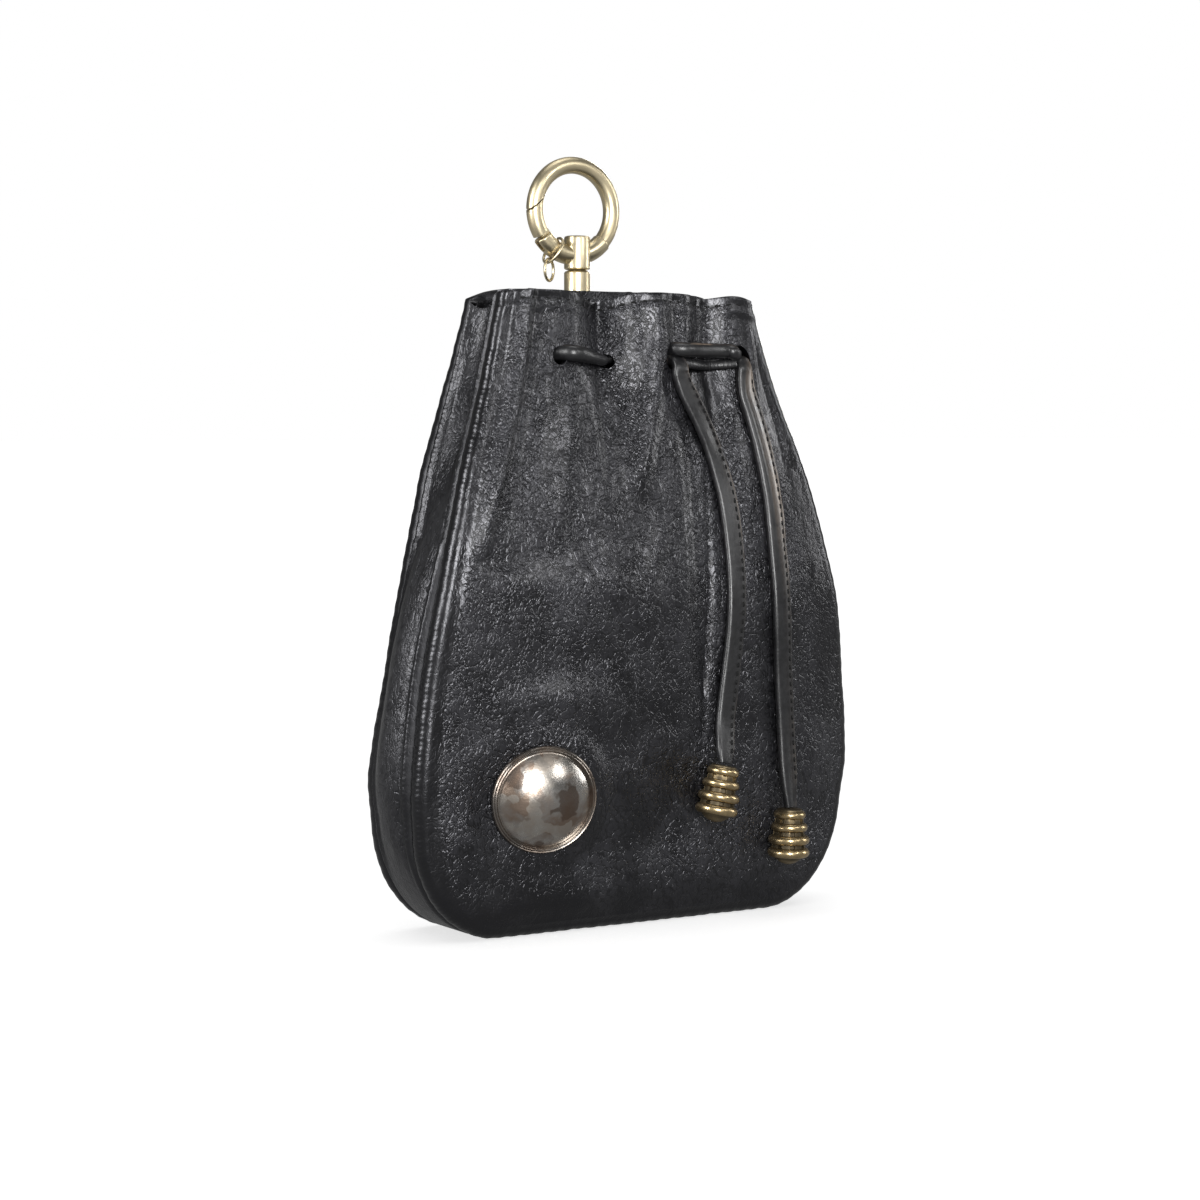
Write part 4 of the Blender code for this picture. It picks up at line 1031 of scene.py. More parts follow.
def stitch_row(name, places, radius, length):
    """Stitches as short sunken threads. places are (middle, along, up) of each stitch."""
    points, faces = [], []
    steps = (
        (-1.0, 0.40, -0.9), (-0.72, 0.95, 0.0), (0.0, 1.05, 0.35), (0.72, 0.95, 0.0),
        (1.0, 0.40, -0.9),
    )
    sides = 6
    for middle, along, up in places:
        along = along.normalized()
        side = along.cross(up).normalized()
        lift = side.cross(along)
        start = len(points)
        for reach, thick, rise in steps:
            centre = middle + along * (0.5 * length * reach) + lift * (radius * rise)
            for k in range(sides):
                turn = 2 * math.pi * k / sides
                points.append(centre + side * (radius * thick * math.cos(turn))
                              + lift * (radius * thick * math.sin(turn)))
        faces += grid_faces(len(steps), sides, start, closed=True)
        faces.append(tuple(start + k for k in range(sides)))
        end = start + (len(steps) - 1) * sides
        faces.append(tuple(end + k for k in range(sides)))
    thing = mesh_object(name, points, faces)
    face_out(thing)
    return thing


def spaced(points, pitch):
    """Places at an even pitch along a line, each with its direction and share of the way."""
    line = [Vector(p) for p in points]
    runs = [0.0]
    for a, b in zip(line, line[1:]):
        runs.append(runs[-1] + (b - a).length)
    total = runs[-1]
    count = int(total / pitch)
    index = 0
    result = []
    for i in range(count):
        at = (i + 0.5) * total / count
        while index < len(line) - 2 and runs[index + 1] < at:
            index += 1
        share = (at - runs[index]) / (runs[index + 1] - runs[index])
        step = line[index + 1] - line[index]
        result.append((line[index] + step * share, step.normalized(), index + share))
    return result


def hem_stitches(name, front):
    """Stitches along the hem of a panel, from one welt to the other."""
    depth_at = front_depth if front else back_depth
    relief_at = front_relief if front else back_relief
    toward = -1.0 if front else 1.0
    z = POUCH_HEIGHT - HEM_DEPTH
    reach = float(half_width(z)) - 1.3 * WELT_RADIUS
    x = np.linspace(-reach, reach, 400)
    zs = np.full_like(x, z)
    y = toward * (depth_at(x, zs) - relief_at(x, zs))
    line = np.stack((x, y, rim_height(x, zs, front)), axis=1)
    places = []
    for point, along, _ in spaced(line, STITCH_PITCH):
        up = Vector((0.0, toward, 0.0))
        places.append((point + up * (0.10 * STITCH_RADIUS), along, up))
    return stitch_row(name, places, STITCH_RADIUS, STITCH_LENGTH)


def tail_stitches(name, points, normals, twist):
    """The row of stitches beside the raw edge of a tail."""
    last = len(points) - 1
    line, ups = [], []
    for i, point in enumerate(points):
        across, above = tail_frame(points, normals, i, twist)
        line.append(point + across * (0.33 * LACE_WIDTH) + above * (0.44 * LACE_THICKNESS))
        ups.append(above)
    places = []
    for point, along, at in spaced(line, TAIL_STITCH_PITCH):
        if 0.16 * last < at < 0.95 * last:
            places.append((point, along, ups[int(at)]))
    return stitch_row(name, places, 0.8 * STITCH_RADIUS, TAIL_STITCH_LENGTH)


# Making hard pieces


def deselect():
    if bpy.context.object is not None and bpy.context.object.mode != "OBJECT":
        bpy.ops.object.mode_set(mode="OBJECT")
    bpy.ops.object.select_all(action="DESELECT")


def pick(thing):
    """Select one piece alone."""
    deselect()
    thing.select_set(True)
    bpy.context.view_layer.objects.active = thing


def edit(thing):
    pick(thing)
    bpy.ops.object.mode_set(mode="EDIT")
    bpy.ops.mesh.select_mode(type="VERT")
    bpy.ops.mesh.select_all(action="DESELECT")


def settle(thing, name, place=Matrix.Identity(4)):
    """Leave edit mode, name the piece and put its place in its mesh."""
    pick(thing)
    thing.name = name
    thing.data.name = name
    thing.matrix_world = place @ thing.matrix_world
    bpy.ops.object.transform_apply(location=True, rotation=True, scale=True)
    deselect()
    return thing


def tidy_normals(thing):
    edit(thing)
    bpy.ops.mesh.select_all(action="SELECT")
    bpy.ops.mesh.remove_doubles(threshold=0.000005)
    bpy.ops.mesh.normals_make_consistent(inside=False)
    bpy.ops.object.mode_set(mode="OBJECT")


def smooth_by_angle(thing, degrees):
    pick(thing)
    bpy.ops.object.shade_smooth_by_angle(angle=math.radians(degrees))
    deselect()


def turned(profile, sides):
    """A turned solid: rings drawn out one after another, from (height, radius) pairs."""
    height, radius = profile[0]
    deselect()
    bpy.ops.mesh.primitive_circle_add(vertices=sides, radius=radius, location=(0, 0, height),
                                      fill_type="NGON")
    thing = bpy.context.object
    bpy.ops.object.mode_set(mode="EDIT")
    bpy.ops.mesh.select_all(action="SELECT")
    for next_height, next_radius in profile[1:]:
        bpy.ops.mesh.extrude_region_move(
            TRANSFORM_OT_translate={"value": (0, 0, next_height - height)})
        grow = next_radius / radius
        bpy.ops.transform.resize(value=(grow, grow, 1.0))
        height, radius = next_height, next_radius
    bpy.ops.object.mode_set(mode="OBJECT")
    tidy_normals(thing)
    return thing


def boolean(thing, other, operation):
    """Join another solid to a piece, or cut it out of it."""
    work = thing.modifiers.new("Work", "BOOLEAN")
    work.operation = operation
    work.solver = "EXACT"
    work.object = other
    pick(thing)
    bpy.ops.object.modifier_apply(modifier="Work")
    bpy.data.objects.remove(other)


def join_shells(things):
    """Pieces that touch, as one object."""
    deselect()
    for thing in things:
        thing.select_set(True)
    bpy.context.view_layer.objects.active = things[0]
    bpy.ops.object.join()
    return bpy.context.object


# Middle heights, ring radii and tube radii of a bead's four rings, as shares of its sizes
BEAD_RINGS = (
    (0.115, 0.56, 0.205),
    (0.335, 0.66, 0.215),
    (0.560, 0.76, 0.225),
    (0.785, 0.77, 0.230),
)


def bead_wear(place, radius, tall):
    """How far a point stands out on the nearest ring: 1 on its crest, 0 in the hollows."""
    out = math.hypot(place.x, place.y)
    best = 0.12
    for down, wide, thick in BEAD_RINGS:
        near = abs(place.z + down * tall) < 1.05 * thick * radius
        crest = (out - wide * radius) / (thick * radius)
        if near:
            best = max(best, min(max(0.35 + 0.75 * crest, 0.0), 1.0))
    if place.z < -0.90 * tall:
        best = max(best, 0.55)
    return best


def make_bead(name, top, lean_angle):
    """A bead like a beehive: four rings on a slotted core with a domed foot."""
    radius = 0.5 * BEAD_DIAMETER
    tall = BEAD_LENGTH
    core = turned([
        (0.0, 0.46 * radius), (-0.02 * tall, 0.60 * radius), (-0.12 * tall, 0.66 * radius),
        (-0.22 * tall, 0.68 * radius), (-0.45 * tall, 0.74 * radius), (-0.68 * tall, 0.80 * radius),
        (-0.80 * tall, 0.78 * radius), (-0.90 * tall, 0.62 * radius), (-0.97 * tall, 0.36 * radius),
        (-1.0 * tall, 0.10 * radius)], 48)
    slots = []
    for low, high in ((0.165, 0.290), (0.390, 0.510), (0.615, 0.735)):
        for k in range(8):
            turn = 2 * math.pi * (k + 0.5) / 8
            deselect()
            bpy.ops.mesh.primitive_cube_add(size=1.0)
            slot = bpy.context.object
            slot.scale = (0.34 * radius, 0.24 * radius, (high - low) * tall)
            place = Matrix.Rotation(turn, 4, "Z") @ Matrix.Translation((0.74 * radius, 0, 0))
            place = Matrix.Translation((0, 0, -0.5 * (low + high) * tall)) @ place
            slots.append(settle(slot, "slot", place))
    boolean(core, join_shells(slots), "DIFFERENCE")
    rings = []
    for down, wide, thick in BEAD_RINGS:
        deselect()
        bpy.ops.mesh.primitive_torus_add(
            major_segments=48, minor_segments=16, major_radius=wide * radius,
            minor_radius=thick * radius, location=(0, 0, -down * tall))
        rings.append(settle(bpy.context.object, "ring"))
    bead = join_shells([core] + rings)
    place = Matrix.Translation(top) @ Matrix.Rotation(-lean_angle, 4, "Y")
    for vertex in bead.data.vertices:
        vertex.co.z = max(vertex.co.z, -tall)
    set_attribute(bead, "wear", [bead_wear(v.co, radius, tall) for v in bead.data.vertices])
    settle(bead, name, place)
    smooth_by_angle(bead, 40.0)
    return bead


def make_concho():
    """A domed disc with a double rim, held by a rivet and a washer inside."""
    radius = 0.5 * CONCHO_DIAMETER
    seat = 2 * CLEARANCE
    rise = CONCHO_HEIGHT - seat
    dome = []
    for i in range(1, 15):
        out = 0.855 * i / 14
        dome.append((seat + rise * (1.0 - 0.74 * (out / 0.855) ** 2.3), radius * out))
    rim = [
        (0.225, 0.872), (0.215, 0.885), (0.250, 0.897), (0.300, 0.908), (0.318, 0.920),
        (0.300, 0.932), (0.262, 0.940), (0.245, 0.948), (0.262, 0.957), (0.268, 0.968),
        (0.240, 0.982), (0.180, 0.994), (0.100, 1.000), (0.030, 0.992), (0.000, 0.970),
    ]
    inner = -LEATHER - 2 * CLEARANCE
    back = [
        (seat, 0.002), (inner, 0.002), (inner, 0.0048), (inner - 0.0008, 0.0048),
        (inner - 0.0012, 0.0044), (inner - 0.0012, 0.001),
    ]
    profile = dome + [(seat + rise * high, radius * wide) for high, wide in rim] + back
    disc = turned(profile, 96)
    place, normal = front_point(CONCHO_X, CONCHO_Z, 0.0)
    turn = normal.to_track_quat("Z", "Y").to_matrix().to_4x4()
    set_attribute(disc, "rim", [float(ease((math.hypot(v.co.x, v.co.y) / radius - 0.83) / 0.05))
                                for v in disc.data.vertices])
    for vertex in disc.data.vertices:
        dent = noise.noise(vertex.co * 260.0) * 0.00010 + noise.noise(vertex.co * 90.0) * 0.00018
        away = math.hypot(vertex.co.x, vertex.co.y) / radius
        vertex.co.z += dent * float(ease((0.86 - away) / 0.2))
    settle(disc, "concho_disc", Matrix.Translation(place) @ turn)
    smooth_by_angle(disc, 50.0)
    return disc


def ring_centre():
    return Vector((RING_SIDE, SWIVEL_Y, STUB_TOP + CLEARANCE + BARREL_HEIGHT + RING_SINK))


def ring_place(radius, angle, y=0.0):
    centre = ring_centre()
    return centre + Vector((radius * math.cos(angle), y, radius * math.sin(angle)))


def ring_arc(start, end, wire, steps, sides=28):
    """A stretch of the ring's wire, spun from a circle round the ring's middle."""
    deselect()
    turn = Matrix.Rotation(-start, 4, "Y") @ Matrix.Translation((RING_MAJOR, 0, 0))
    bpy.ops.mesh.primitive_circle_add(vertices=sides, radius=0.5 * wire, fill_type="NGON")
    arc = settle(bpy.context.object, "arc", turn)
    edit(arc)
    bpy.ops.mesh.select_all(action="SELECT")
    bpy.ops.mesh.spin(steps=steps, angle=end - start, center=(0, 0, 0), axis=(0, 1, 0))
    bpy.ops.object.mode_set(mode="OBJECT")
    bm = bmesh.new()
    bm.from_mesh(arc.data)
    open_edges = [edge for edge in bm.edges if edge.is_boundary]
    if open_edges:
        bmesh.ops.holes_fill(bm, edges=open_edges)
    bm.to_mesh(arc.data)
    bm.free()
    tidy_normals(arc)
    return settle(arc, "arc", Matrix.Translation(ring_centre()))


def slant_cut(arc, angle, slant, keep_after):
    """Cut a ring arc off at an angle of the ring, slanted from square."""
    along = Vector((-math.sin(angle), 0.0, math.cos(angle)))
    outward = Vector((math.cos(angle), 0.0, math.sin(angle)))
    normal = along * math.cos(slant) - outward * math.sin(slant)
    edit(arc)
    bpy.ops.mesh.select_all(action="SELECT")
    bpy.ops.mesh.bisect(plane_co=ring_place(RING_MAJOR, angle), plane_no=normal, use_fill=True,
                        clear_inner=keep_after, clear_outer=not keep_after)
    bpy.ops.object.mode_set(mode="OBJECT")
    tidy_normals(arc)
    return arc


def beyond_cut(angle, slant):
    """A block that covers the ring's wire just past a slanted cut."""
    along = Vector((-math.sin(angle), 0.0, math.cos(angle)))
    outward = Vector((math.cos(angle), 0.0, math.sin(angle)))
    normal = along * math.cos(slant) - outward * math.sin(slant)
    turn = normal.to_track_quat("Z", "Y").to_matrix().to_4x4()
    size = 3.0 * RING_WIRE
    middle = ring_place(RING_MAJOR, angle) + normal * (0.5 * size)
    return pin_block((size, size, size), Matrix.Translation(middle) @ turn)


def hinge_place():
    """The gate's pin, inside the end of the left sleeve."""
    return ring_place(RING_MAJOR - PIN_INSET, PIN_ANGLE)


def pin_block(size, place):
    deselect()
    bpy.ops.mesh.primitive_cube_add(size=1.0)
    thing = bpy.context.object
    thing.scale = size
    return settle(thing, "block", place)


def pin_barrel(radius, depth, place, sides=32):
    deselect()
    bpy.ops.mesh.primitive_cylinder_add(vertices=sides, radius=radius, depth=depth)
    return settle(bpy.context.object, "barrel", place)


def rounded_end(arc, angle, width):
    """Round the flat end of a ring arc that stands at an angle of the ring."""
    along = Vector((-math.sin(angle), 0.0, math.cos(angle)))
    middle = ring_place(RING_MAJOR, angle)
    edit(arc)
    bpy.ops.object.mode_set(mode="OBJECT")
    for edge in arc.data.edges:
        ends = [arc.data.vertices[i].co for i in edge.vertices]
        flat = all(abs((p - middle).dot(along)) < 0.00002 for p in ends)
        near = all((p - middle).length < SLEEVE_WIRE for p in ends)
        edge.select = flat and near
    bpy.ops.object.mode_set(mode="EDIT")
    bpy.ops.mesh.select_mode(type="EDGE")
    bpy.ops.mesh.bevel(offset=width, segments=3, affect="EDGES")
    bpy.ops.object.mode_set(mode="OBJECT")
    return arc


def make_ring_head():
    """The swivel's head: a barrel, the ring's wire and the thicker sleeve."""
    foot = STUB_TOP + CLEARANCE
    radius = 0.5 * BARREL_DIAMETER
    head = turned([
        (0.0, 0.5 * radius), (0.0, radius - 0.0006), (0.00012, radius - 0.00025),
        (0.0004, radius), (BARREL_HEIGHT - 0.0007, radius), (BARREL_HEIGHT - 0.0002, radius - 0.0002),
        (BARREL_HEIGHT, radius - 0.0007), (BARREL_HEIGHT, 0.5 * radius)], 64)
    settle(head, "swivel_head_fine", Matrix.Translation((0.0, SWIVEL_Y, foot)))
    sleeve = ring_arc(GATE_HEEL_ANGLE, SLEEVE_END_ANGLE, SLEEVE_WIRE, 48)
    rounded_end(sleeve, GATE_HEEL_ANGLE, 0.0004)
    rounded_end(sleeve, SLEEVE_END_ANGLE, 0.0004)
    pin_at = hinge_place()
    slot_turn = Matrix.Rotation(-PIN_ANGLE, 4, "Y")
    slot = pin_block((2 * SLEEVE_WIRE, SLOT_WIDTH, 2 * (TONGUE_RADIUS + 2 * CLEARANCE)),
                     Matrix.Translation(pin_at) @ slot_turn)
    boolean(sleeve, slot, "DIFFERENCE")
    wire = ring_arc(SLEEVE_END_ANGLE - 2 * math.pi - 0.06, GATE_TIP_ANGLE + 0.4, RING_WIRE, 120)
    boolean(wire, beyond_cut(GATE_TIP_ANGLE, GATE_CUT), "DIFFERENCE")
    boolean(head, sleeve, "UNION")
    boolean(head, wire, "UNION")
    smooth_by_angle(head, 35.0)
    return settle(head, "swivel_head_fine")


def make_ring_gate():
    """The gate: a short stretch of wire with a tongue round its pin."""
    gap = CLEARANCE / RING_MAJOR
    gate = ring_arc(GATE_TIP_ANGLE - 0.4, GATE_HEEL_ANGLE - 3 * gap, RING_WIRE, 48)
    slant_cut(gate, GATE_TIP_ANGLE + 2 * gap, GATE_CUT, True)
    slant_cut(gate, GATE_HEEL_ANGLE - 3.5 * gap, HEEL_RELIEF, False)
    pin_at = hinge_place()
    slot_turn = Matrix.Rotation(-PIN_ANGLE, 4, "Y")
    forward = Matrix.Translation((0.0, 0.0, -(1.1 * TONGUE_RADIUS + 0.5 * PIN_SET_BACK)))
    neck = pin_block((2 * TONGUE_RADIUS, TONGUE_THICKNESS, 2.2 * TONGUE_RADIUS + PIN_SET_BACK),
                     Matrix.Translation(pin_at) @ slot_turn @ forward)
    tongue = pin_barrel(TONGUE_RADIUS, TONGUE_THICKNESS,
                        Matrix.Translation(pin_at) @ Matrix.Rotation(0.5 * math.pi, 4, "X"))
    boolean(gate, neck, "UNION")
    boolean(gate, tongue, "UNION")
    smooth_by_angle(gate, 35.0)
    return settle(gate, "ring_gate_fine")


def make_links():
    """Two small wire links, one round the left sleeve and one hanging through it."""
    inner = LINK_RADIUS - 0.5 * LINK_WIRE
    hang = inner - 0.5 * SLEEVE_WIRE - CLEARANCE
    radial = Vector((math.cos(LINK_ANGLE), 0.0, math.sin(LINK_ANGLE)))
    across = Vector((0.0, 1.0, 0.0))
    upper_centre = ring_place(RING_MAJOR, LINK_ANGLE) + radial * hang
    top_wire = upper_centre + radial * (LINK_RADIUS - LINK_WIRE - 1.5 * CLEARANCE)
    flat = Vector((math.sin(LINK_TURN), math.cos(LINK_TURN), 0.0))
    up = Vector((0.0, 0.0, 1.0))
    links = []
    for name, size, centre, a, b in (
            ("link_upper_fine", LINK_RADIUS, upper_centre, across, radial),
            ("link_lower_fine", LOWER_LINK_RADIUS, top_wire - up * LOWER_LINK_RADIUS, flat, up)):
        deselect()
        bpy.ops.mesh.primitive_torus_add(major_segments=56, minor_segments=14,
                                         major_radius=size, minor_radius=0.5 * LINK_WIRE)
        turn = Matrix((a, b, a.cross(b))).transposed().to_4x4()
        link = settle(bpy.context.object, name, Matrix.Translation(centre) @ turn)
        smooth_by_angle(link, 40.0)
        links.append(link)
    return links


def make_stub():
    """The swivel's lower half: a barrel, the post above it and a square eye below."""
    radius = 0.5 * BARREL_DIAMETER
    stub = turned([
        (0.0005, POST_RADIUS), (0.0, radius - 0.0008), (-0.0002, radius - 0.0003),
        (-0.0006, radius), (-STUB_HEIGHT + 0.0004, radius), (-STUB_HEIGHT, radius - 0.0004),
        (-STUB_HEIGHT, 0.5 * radius)], 64)
    settle(stub, "swivel_stub_fine", Matrix.Translation((0.0, SWIVEL_Y, STUB_TOP)))
    half = 0.5 * TAB_WIDTH + EYE_SIDE_ROOM + 0.5 * EYE_WIRE
    top = STUB_TOP - STUB_HEIGHT - 0.1 * EYE_WIRE
    deselect()
    bpy.ops.mesh.primitive_torus_add(major_segments=48, minor_segments=20,
                                     major_radius=EYE_WIRE, minor_radius=0.5 * EYE_WIRE,
                                     rotation=(0.5 * math.pi, 0, 0))
    eye = settle(bpy.context.object, "eye")
    for vertex in eye.data.vertices:
        if abs(vertex.co.x) > 0.00001:
            vertex.co.x += math.copysign(half - EYE_WIRE, vertex.co.x)
        if abs(vertex.co.z) > 0.00001:
            vertex.co.z += math.copysign(0.5 * EYE_HEIGHT - EYE_WIRE, vertex.co.z)
    settle(eye, "eye", Matrix.Translation((0.0, SWIVEL_Y, top - 0.5 * EYE_HEIGHT)))
    boolean(stub, eye, "UNION")
    smooth_by_angle(stub, 35.0)
    return settle(stub, "swivel_stub_fine")


def tab_path():
    """The strap's middle line: up behind the panel, round the eye's bar and down again."""
    bar_z = STUB_TOP - STUB_HEIGHT - 0.1 * EYE_WIRE - EYE_HEIGHT
    bend = 0.5 * EYE_WIRE + CLEARANCE + 0.5 * LEATHER
    foot = bar_z - TAB_LENGTH
    path = []
    rows = 24
    for i in range(rows + 1):
        z = foot + (bar_z - bend - foot) * i / rows
        near = float(back_depth(0.0, z)) + 2 * CLEARANCE + 0.5 * LEATHER
        share = float(ease((z - foot) / (bar_z - bend - foot) * 1.4 - 0.4))
        path.append(Vector((0.0, near + (SWIVEL_Y - bend - near) * share, z)))
    for i in range(17):
        turn = math.pi * i / 16
        path.append(Vector((0.0, SWIVEL_Y - bend * math.cos(turn), bar_z + bend * math.sin(turn))))
    for i in range(rows, -1, -1):
        low = path[i]
        apart = LEATHER + CLEARANCE
        share = float(ease((low.z - foot) / (bar_z - bend - foot) * 1.4 - 0.4))
        path.append(Vector((0.0, low.y + apart + (2 * bend - apart) * share, low.z)))
    return path, foot


def make_tab():
    """The leather strap that holds the swivel, with rounded edges."""
    path, _ = tab_path()
    half, lift = 0.5 * TAB_WIDTH, 0.5 * LEATHER
    section_shares = (
        (-1.0, 0.0), (-0.99, 0.6), (-0.95, 0.95), (-0.88, 1.0), (-0.80, 0.9), (-0.70, 1.0),
        (0.0, 1.0), (0.70, 1.0), (0.80, 0.9), (0.88, 1.0), (0.95, 0.95), (0.99, 0.6), (1.0, 0.0),
        (0.99, -0.6), (0.95, -0.95), (0.88, -1.0), (0.0, -1.0), (-0.88, -1.0), (-0.95, -0.95),
        (-0.99, -0.6),
    )
    cross = Vector((1.0, 0.0, 0.0))

    def section(i, point, along):
        up = along.cross(cross)
        return [point + cross * (half * a) + up * (lift * b) for a, b in section_shares]

    return sweep("hanger_strap", path, len(section_shares), section)


def tab_stitches():
    """Stitches along both edges of the strap's outer leaf."""
    path, _ = tab_path()
    outer = path[len(path) // 2 + 6:]
    places = []
    for side in (-1.0, 1.0):
        line = [p + Vector((side * 0.40 * TAB_WIDTH, 0.47 * LEATHER, 0.0)) for p in outer]
        for point, along, at in spaced(line, STITCH_PITCH):
            if at < len(line) - 2:
                places.append((point, along, Vector((0.0, 1.0, 0.0))))
    return stitch_row("strap_stitches", places, STITCH_RADIUS, STITCH_LENGTH)


def make_rivet():
    """The rivet through the strap and the back panel."""
    _, foot = tab_path()
    rivet_z = foot + RIVET_HEAD_RADIUS + 0.0015
    near = float(back_depth(0.0, rivet_z))
    outer = near + 2 * LEATHER + 6 * CLEARANCE
    inner = near - LEATHER - 3 * CLEARANCE
    head = RIVET_HEAD_RADIUS
    dome = [(outer + RIVET_HEAD * math.cos(0.5 * math.pi * i / 8),
             max(head * math.sin(0.5 * math.pi * i / 8), 0.0003)) for i in range(9)]
    foot_dome = [(inner - RIVET_HEAD * math.sin(0.5 * math.pi * i / 8),
                  max(head * math.cos(0.5 * math.pi * i / 8), 0.0003)) for i in range(9)]
    rivet = turned(dome + [(outer, RIVET_RADIUS), (inner, RIVET_RADIUS)] + foot_dome, 40)
    turn = Matrix.Rotation(-0.5 * math.pi, 4, "X")
    settle(rivet, "strap_rivet", Matrix.Translation((0.0, 0.0, rivet_z)) @ turn)
    smooth_by_angle(rivet, 40.0)
    return rivet


# Materials

# Dark and light tones of each material. In the leathers the tone follows the grain as well as random
# tone: painted shade in the crease lines and a painted highlight on the crests. The seam's near-black
# is painted shade in the seam groove
PANEL_TONES_AND_PAINTED_SHADE_HIGHLIGHT = ((0.0018, 0.0018, 0.0021), (0.015, 0.015, 0.017))
GUSSET_TONES_AND_PAINTED_SHADE_HIGHLIGHT = ((0.0030, 0.0030, 0.0034), (0.013, 0.013, 0.014))
SEAM_GROOVE_PAINTED_SHADE = (0.0012, 0.0012, 0.0012)
LACE_TONES = ((0.004, 0.004, 0.0045), (0.010, 0.010, 0.011))
RAW_EDGE = (0.26, 0.195, 0.14)
THREAD_TONES = ((0.002, 0.002, 0.002), (0.006, 0.006, 0.006))
BRASS_TONES = ((0.62, 0.54, 0.365), (0.55, 0.47, 0.31))
STEEL_TONES = ((0.50, 0.48, 0.45), (0.34, 0.32, 0.30))
ANTIQUE_TONES = ((0.020, 0.016, 0.011), (0.47, 0.36, 0.20))
SILVER_TONES = ((0.36, 0.345, 0.325), (0.215, 0.165, 0.13))
BROWN_STAIN = (0.115, 0.080, 0.060)
PALE_STAIN = (0.46, 0.435, 0.39)
RIM_TONE = (0.17, 0.145, 0.125)
FLOOR_TONES = ((0.93, 0.93, 0.93), (0.95, 0.95, 0.95))
FLOOR_SEEN_BY_OBJECT = (0.25, 0.25, 0.25)

# Leather: noise scales, the reach of its swirls, and the depths of its bumps
SWIRL_SCALE = 240.0
SWIRL_REACH = 0.0026
CREASE_SCALE = 430.0
FINE_CREASE_SCALE = 760.0
BREAK_SCALE = 800.0
PORE_SCALE = 3200.0
SOFT_SCALE = 95.0
PATCH_SCALE = 26.0
SOFT_BUMP = 0.0012
RIB_BUMP = 0.00010
GRAIN_BUMP = 0.00050


def start_material(name):
    material = bpy.data.materials.new(name)
    material.use_nodes = True
    tree = material.node_tree
    return material, tree, tree.nodes["Principled BSDF"]


def feed(tree, node, socket, value):
    """Set a socket to a number or colour, or link it to another node's output."""
    if isinstance(value, bpy.types.NodeSocket):
        tree.links.new(value, node.inputs[socket])
    else:
        node.inputs[socket].default_value = value


def place_of(tree, scale=(1.0, 1.0, 1.0), turn=(0.0, 0.0, 0.0)):
    """Object coordinates, stretched and turned."""
    coords = tree.nodes.new("ShaderNodeTexCoord")
    mapping = tree.nodes.new("ShaderNodeMapping")
    mapping.inputs["Scale"].default_value = scale
    mapping.inputs["Rotation"].default_value = turn
    tree.links.new(coords.outputs["Object"], mapping.inputs["Vector"])
    return mapping.outputs["Vector"]


def cloud(tree, place, scale, detail=2.0, roughness=0.5, kind="FBM", distortion=0.0):
    node = tree.nodes.new("ShaderNodeTexNoise")
    node.noise_type = kind
    feed(tree, node, "Vector", place)
    feed(tree, node, "Scale", scale)
    feed(tree, node, "Detail", detail)
    feed(tree, node, "Roughness", roughness)
    feed(tree, node, "Distortion", distortion)
    return node.outputs["Fac"]


def maths(tree, operation, a, b=0.0):
    node = tree.nodes.new("ShaderNodeMath")
    node.operation = operation
    feed(tree, node, 0, a)
    feed(tree, node, 1, b)
    return node.outputs[0]


def plus(tree, a, b):
    return maths(tree, "ADD", a, b)


def times(tree, a, b):
    return maths(tree, "MULTIPLY", a, b)


def ranged(tree, value, low, high, to_low, to_high):
    node = tree.nodes.new("ShaderNodeMapRange")
    feed(tree, node, "Value", value)
    feed(tree, node, "From Min", low)
    feed(tree, node, "From Max", high)
    feed(tree, node, "To Min", to_low)
    feed(tree, node, "To Max", to_high)
    return node.outputs["Result"]


def blended(tree, share, first, second):
    """A colour between two others."""
    node = tree.nodes.new("ShaderNodeMix")
    node.data_type = "RGBA"
    feed(tree, node, 0, share)
    for socket, value in ((6, first), (7, second)):
        if not isinstance(value, bpy.types.NodeSocket):
            value = (*value, 1.0)
        feed(tree, node, socket, value)
    return node.outputs[2]


def bump(tree, height, strength, distance, under=None):
    node = tree.nodes.new("ShaderNodeBump")
    feed(tree, node, "Height", height)
    feed(tree, node, "Strength", strength)
    feed(tree, node, "Distance", distance)
    if under is not None:
        tree.links.new(under, node.inputs["Normal"])
    return node.outputs["Normal"]


def warped(tree, place, scale, amount):
    """Places pushed about by a soft noise."""
    node = tree.nodes.new("ShaderNodeTexNoise")
    feed(tree, node, "Vector", place)
    feed(tree, node, "Scale", scale)
    feed(tree, node, "Detail", 1.0)
    centred = tree.nodes.new("ShaderNodeVectorMath")
    centred.operation = "SUBTRACT"
    tree.links.new(node.outputs["Color"], centred.inputs[0])
    centred.inputs[1].default_value = (0.5, 0.5, 0.5)
    pushed = tree.nodes.new("ShaderNodeVectorMath")
    pushed.operation = "MULTIPLY_ADD"
    tree.links.new(centred.outputs[0], pushed.inputs[0])
    pushed.inputs[1].default_value = (amount, amount, amount)
    tree.links.new(place, pushed.inputs[2])
    return pushed.outputs[0]


def attribute(tree, name):
    node = tree.nodes.new("ShaderNodeAttribute")
    node.attribute_name = name
    return node.outputs["Fac"]


def crease_lines(tree, swell, width):
    """0 along the lines where a swell changes side, rising to 1 between them."""
    away = maths(tree, "ABSOLUTE", maths(tree, "SUBTRACT", swell, 0.5))
    return ranged(tree, away, 0.0, width, 0.0, 1.0)


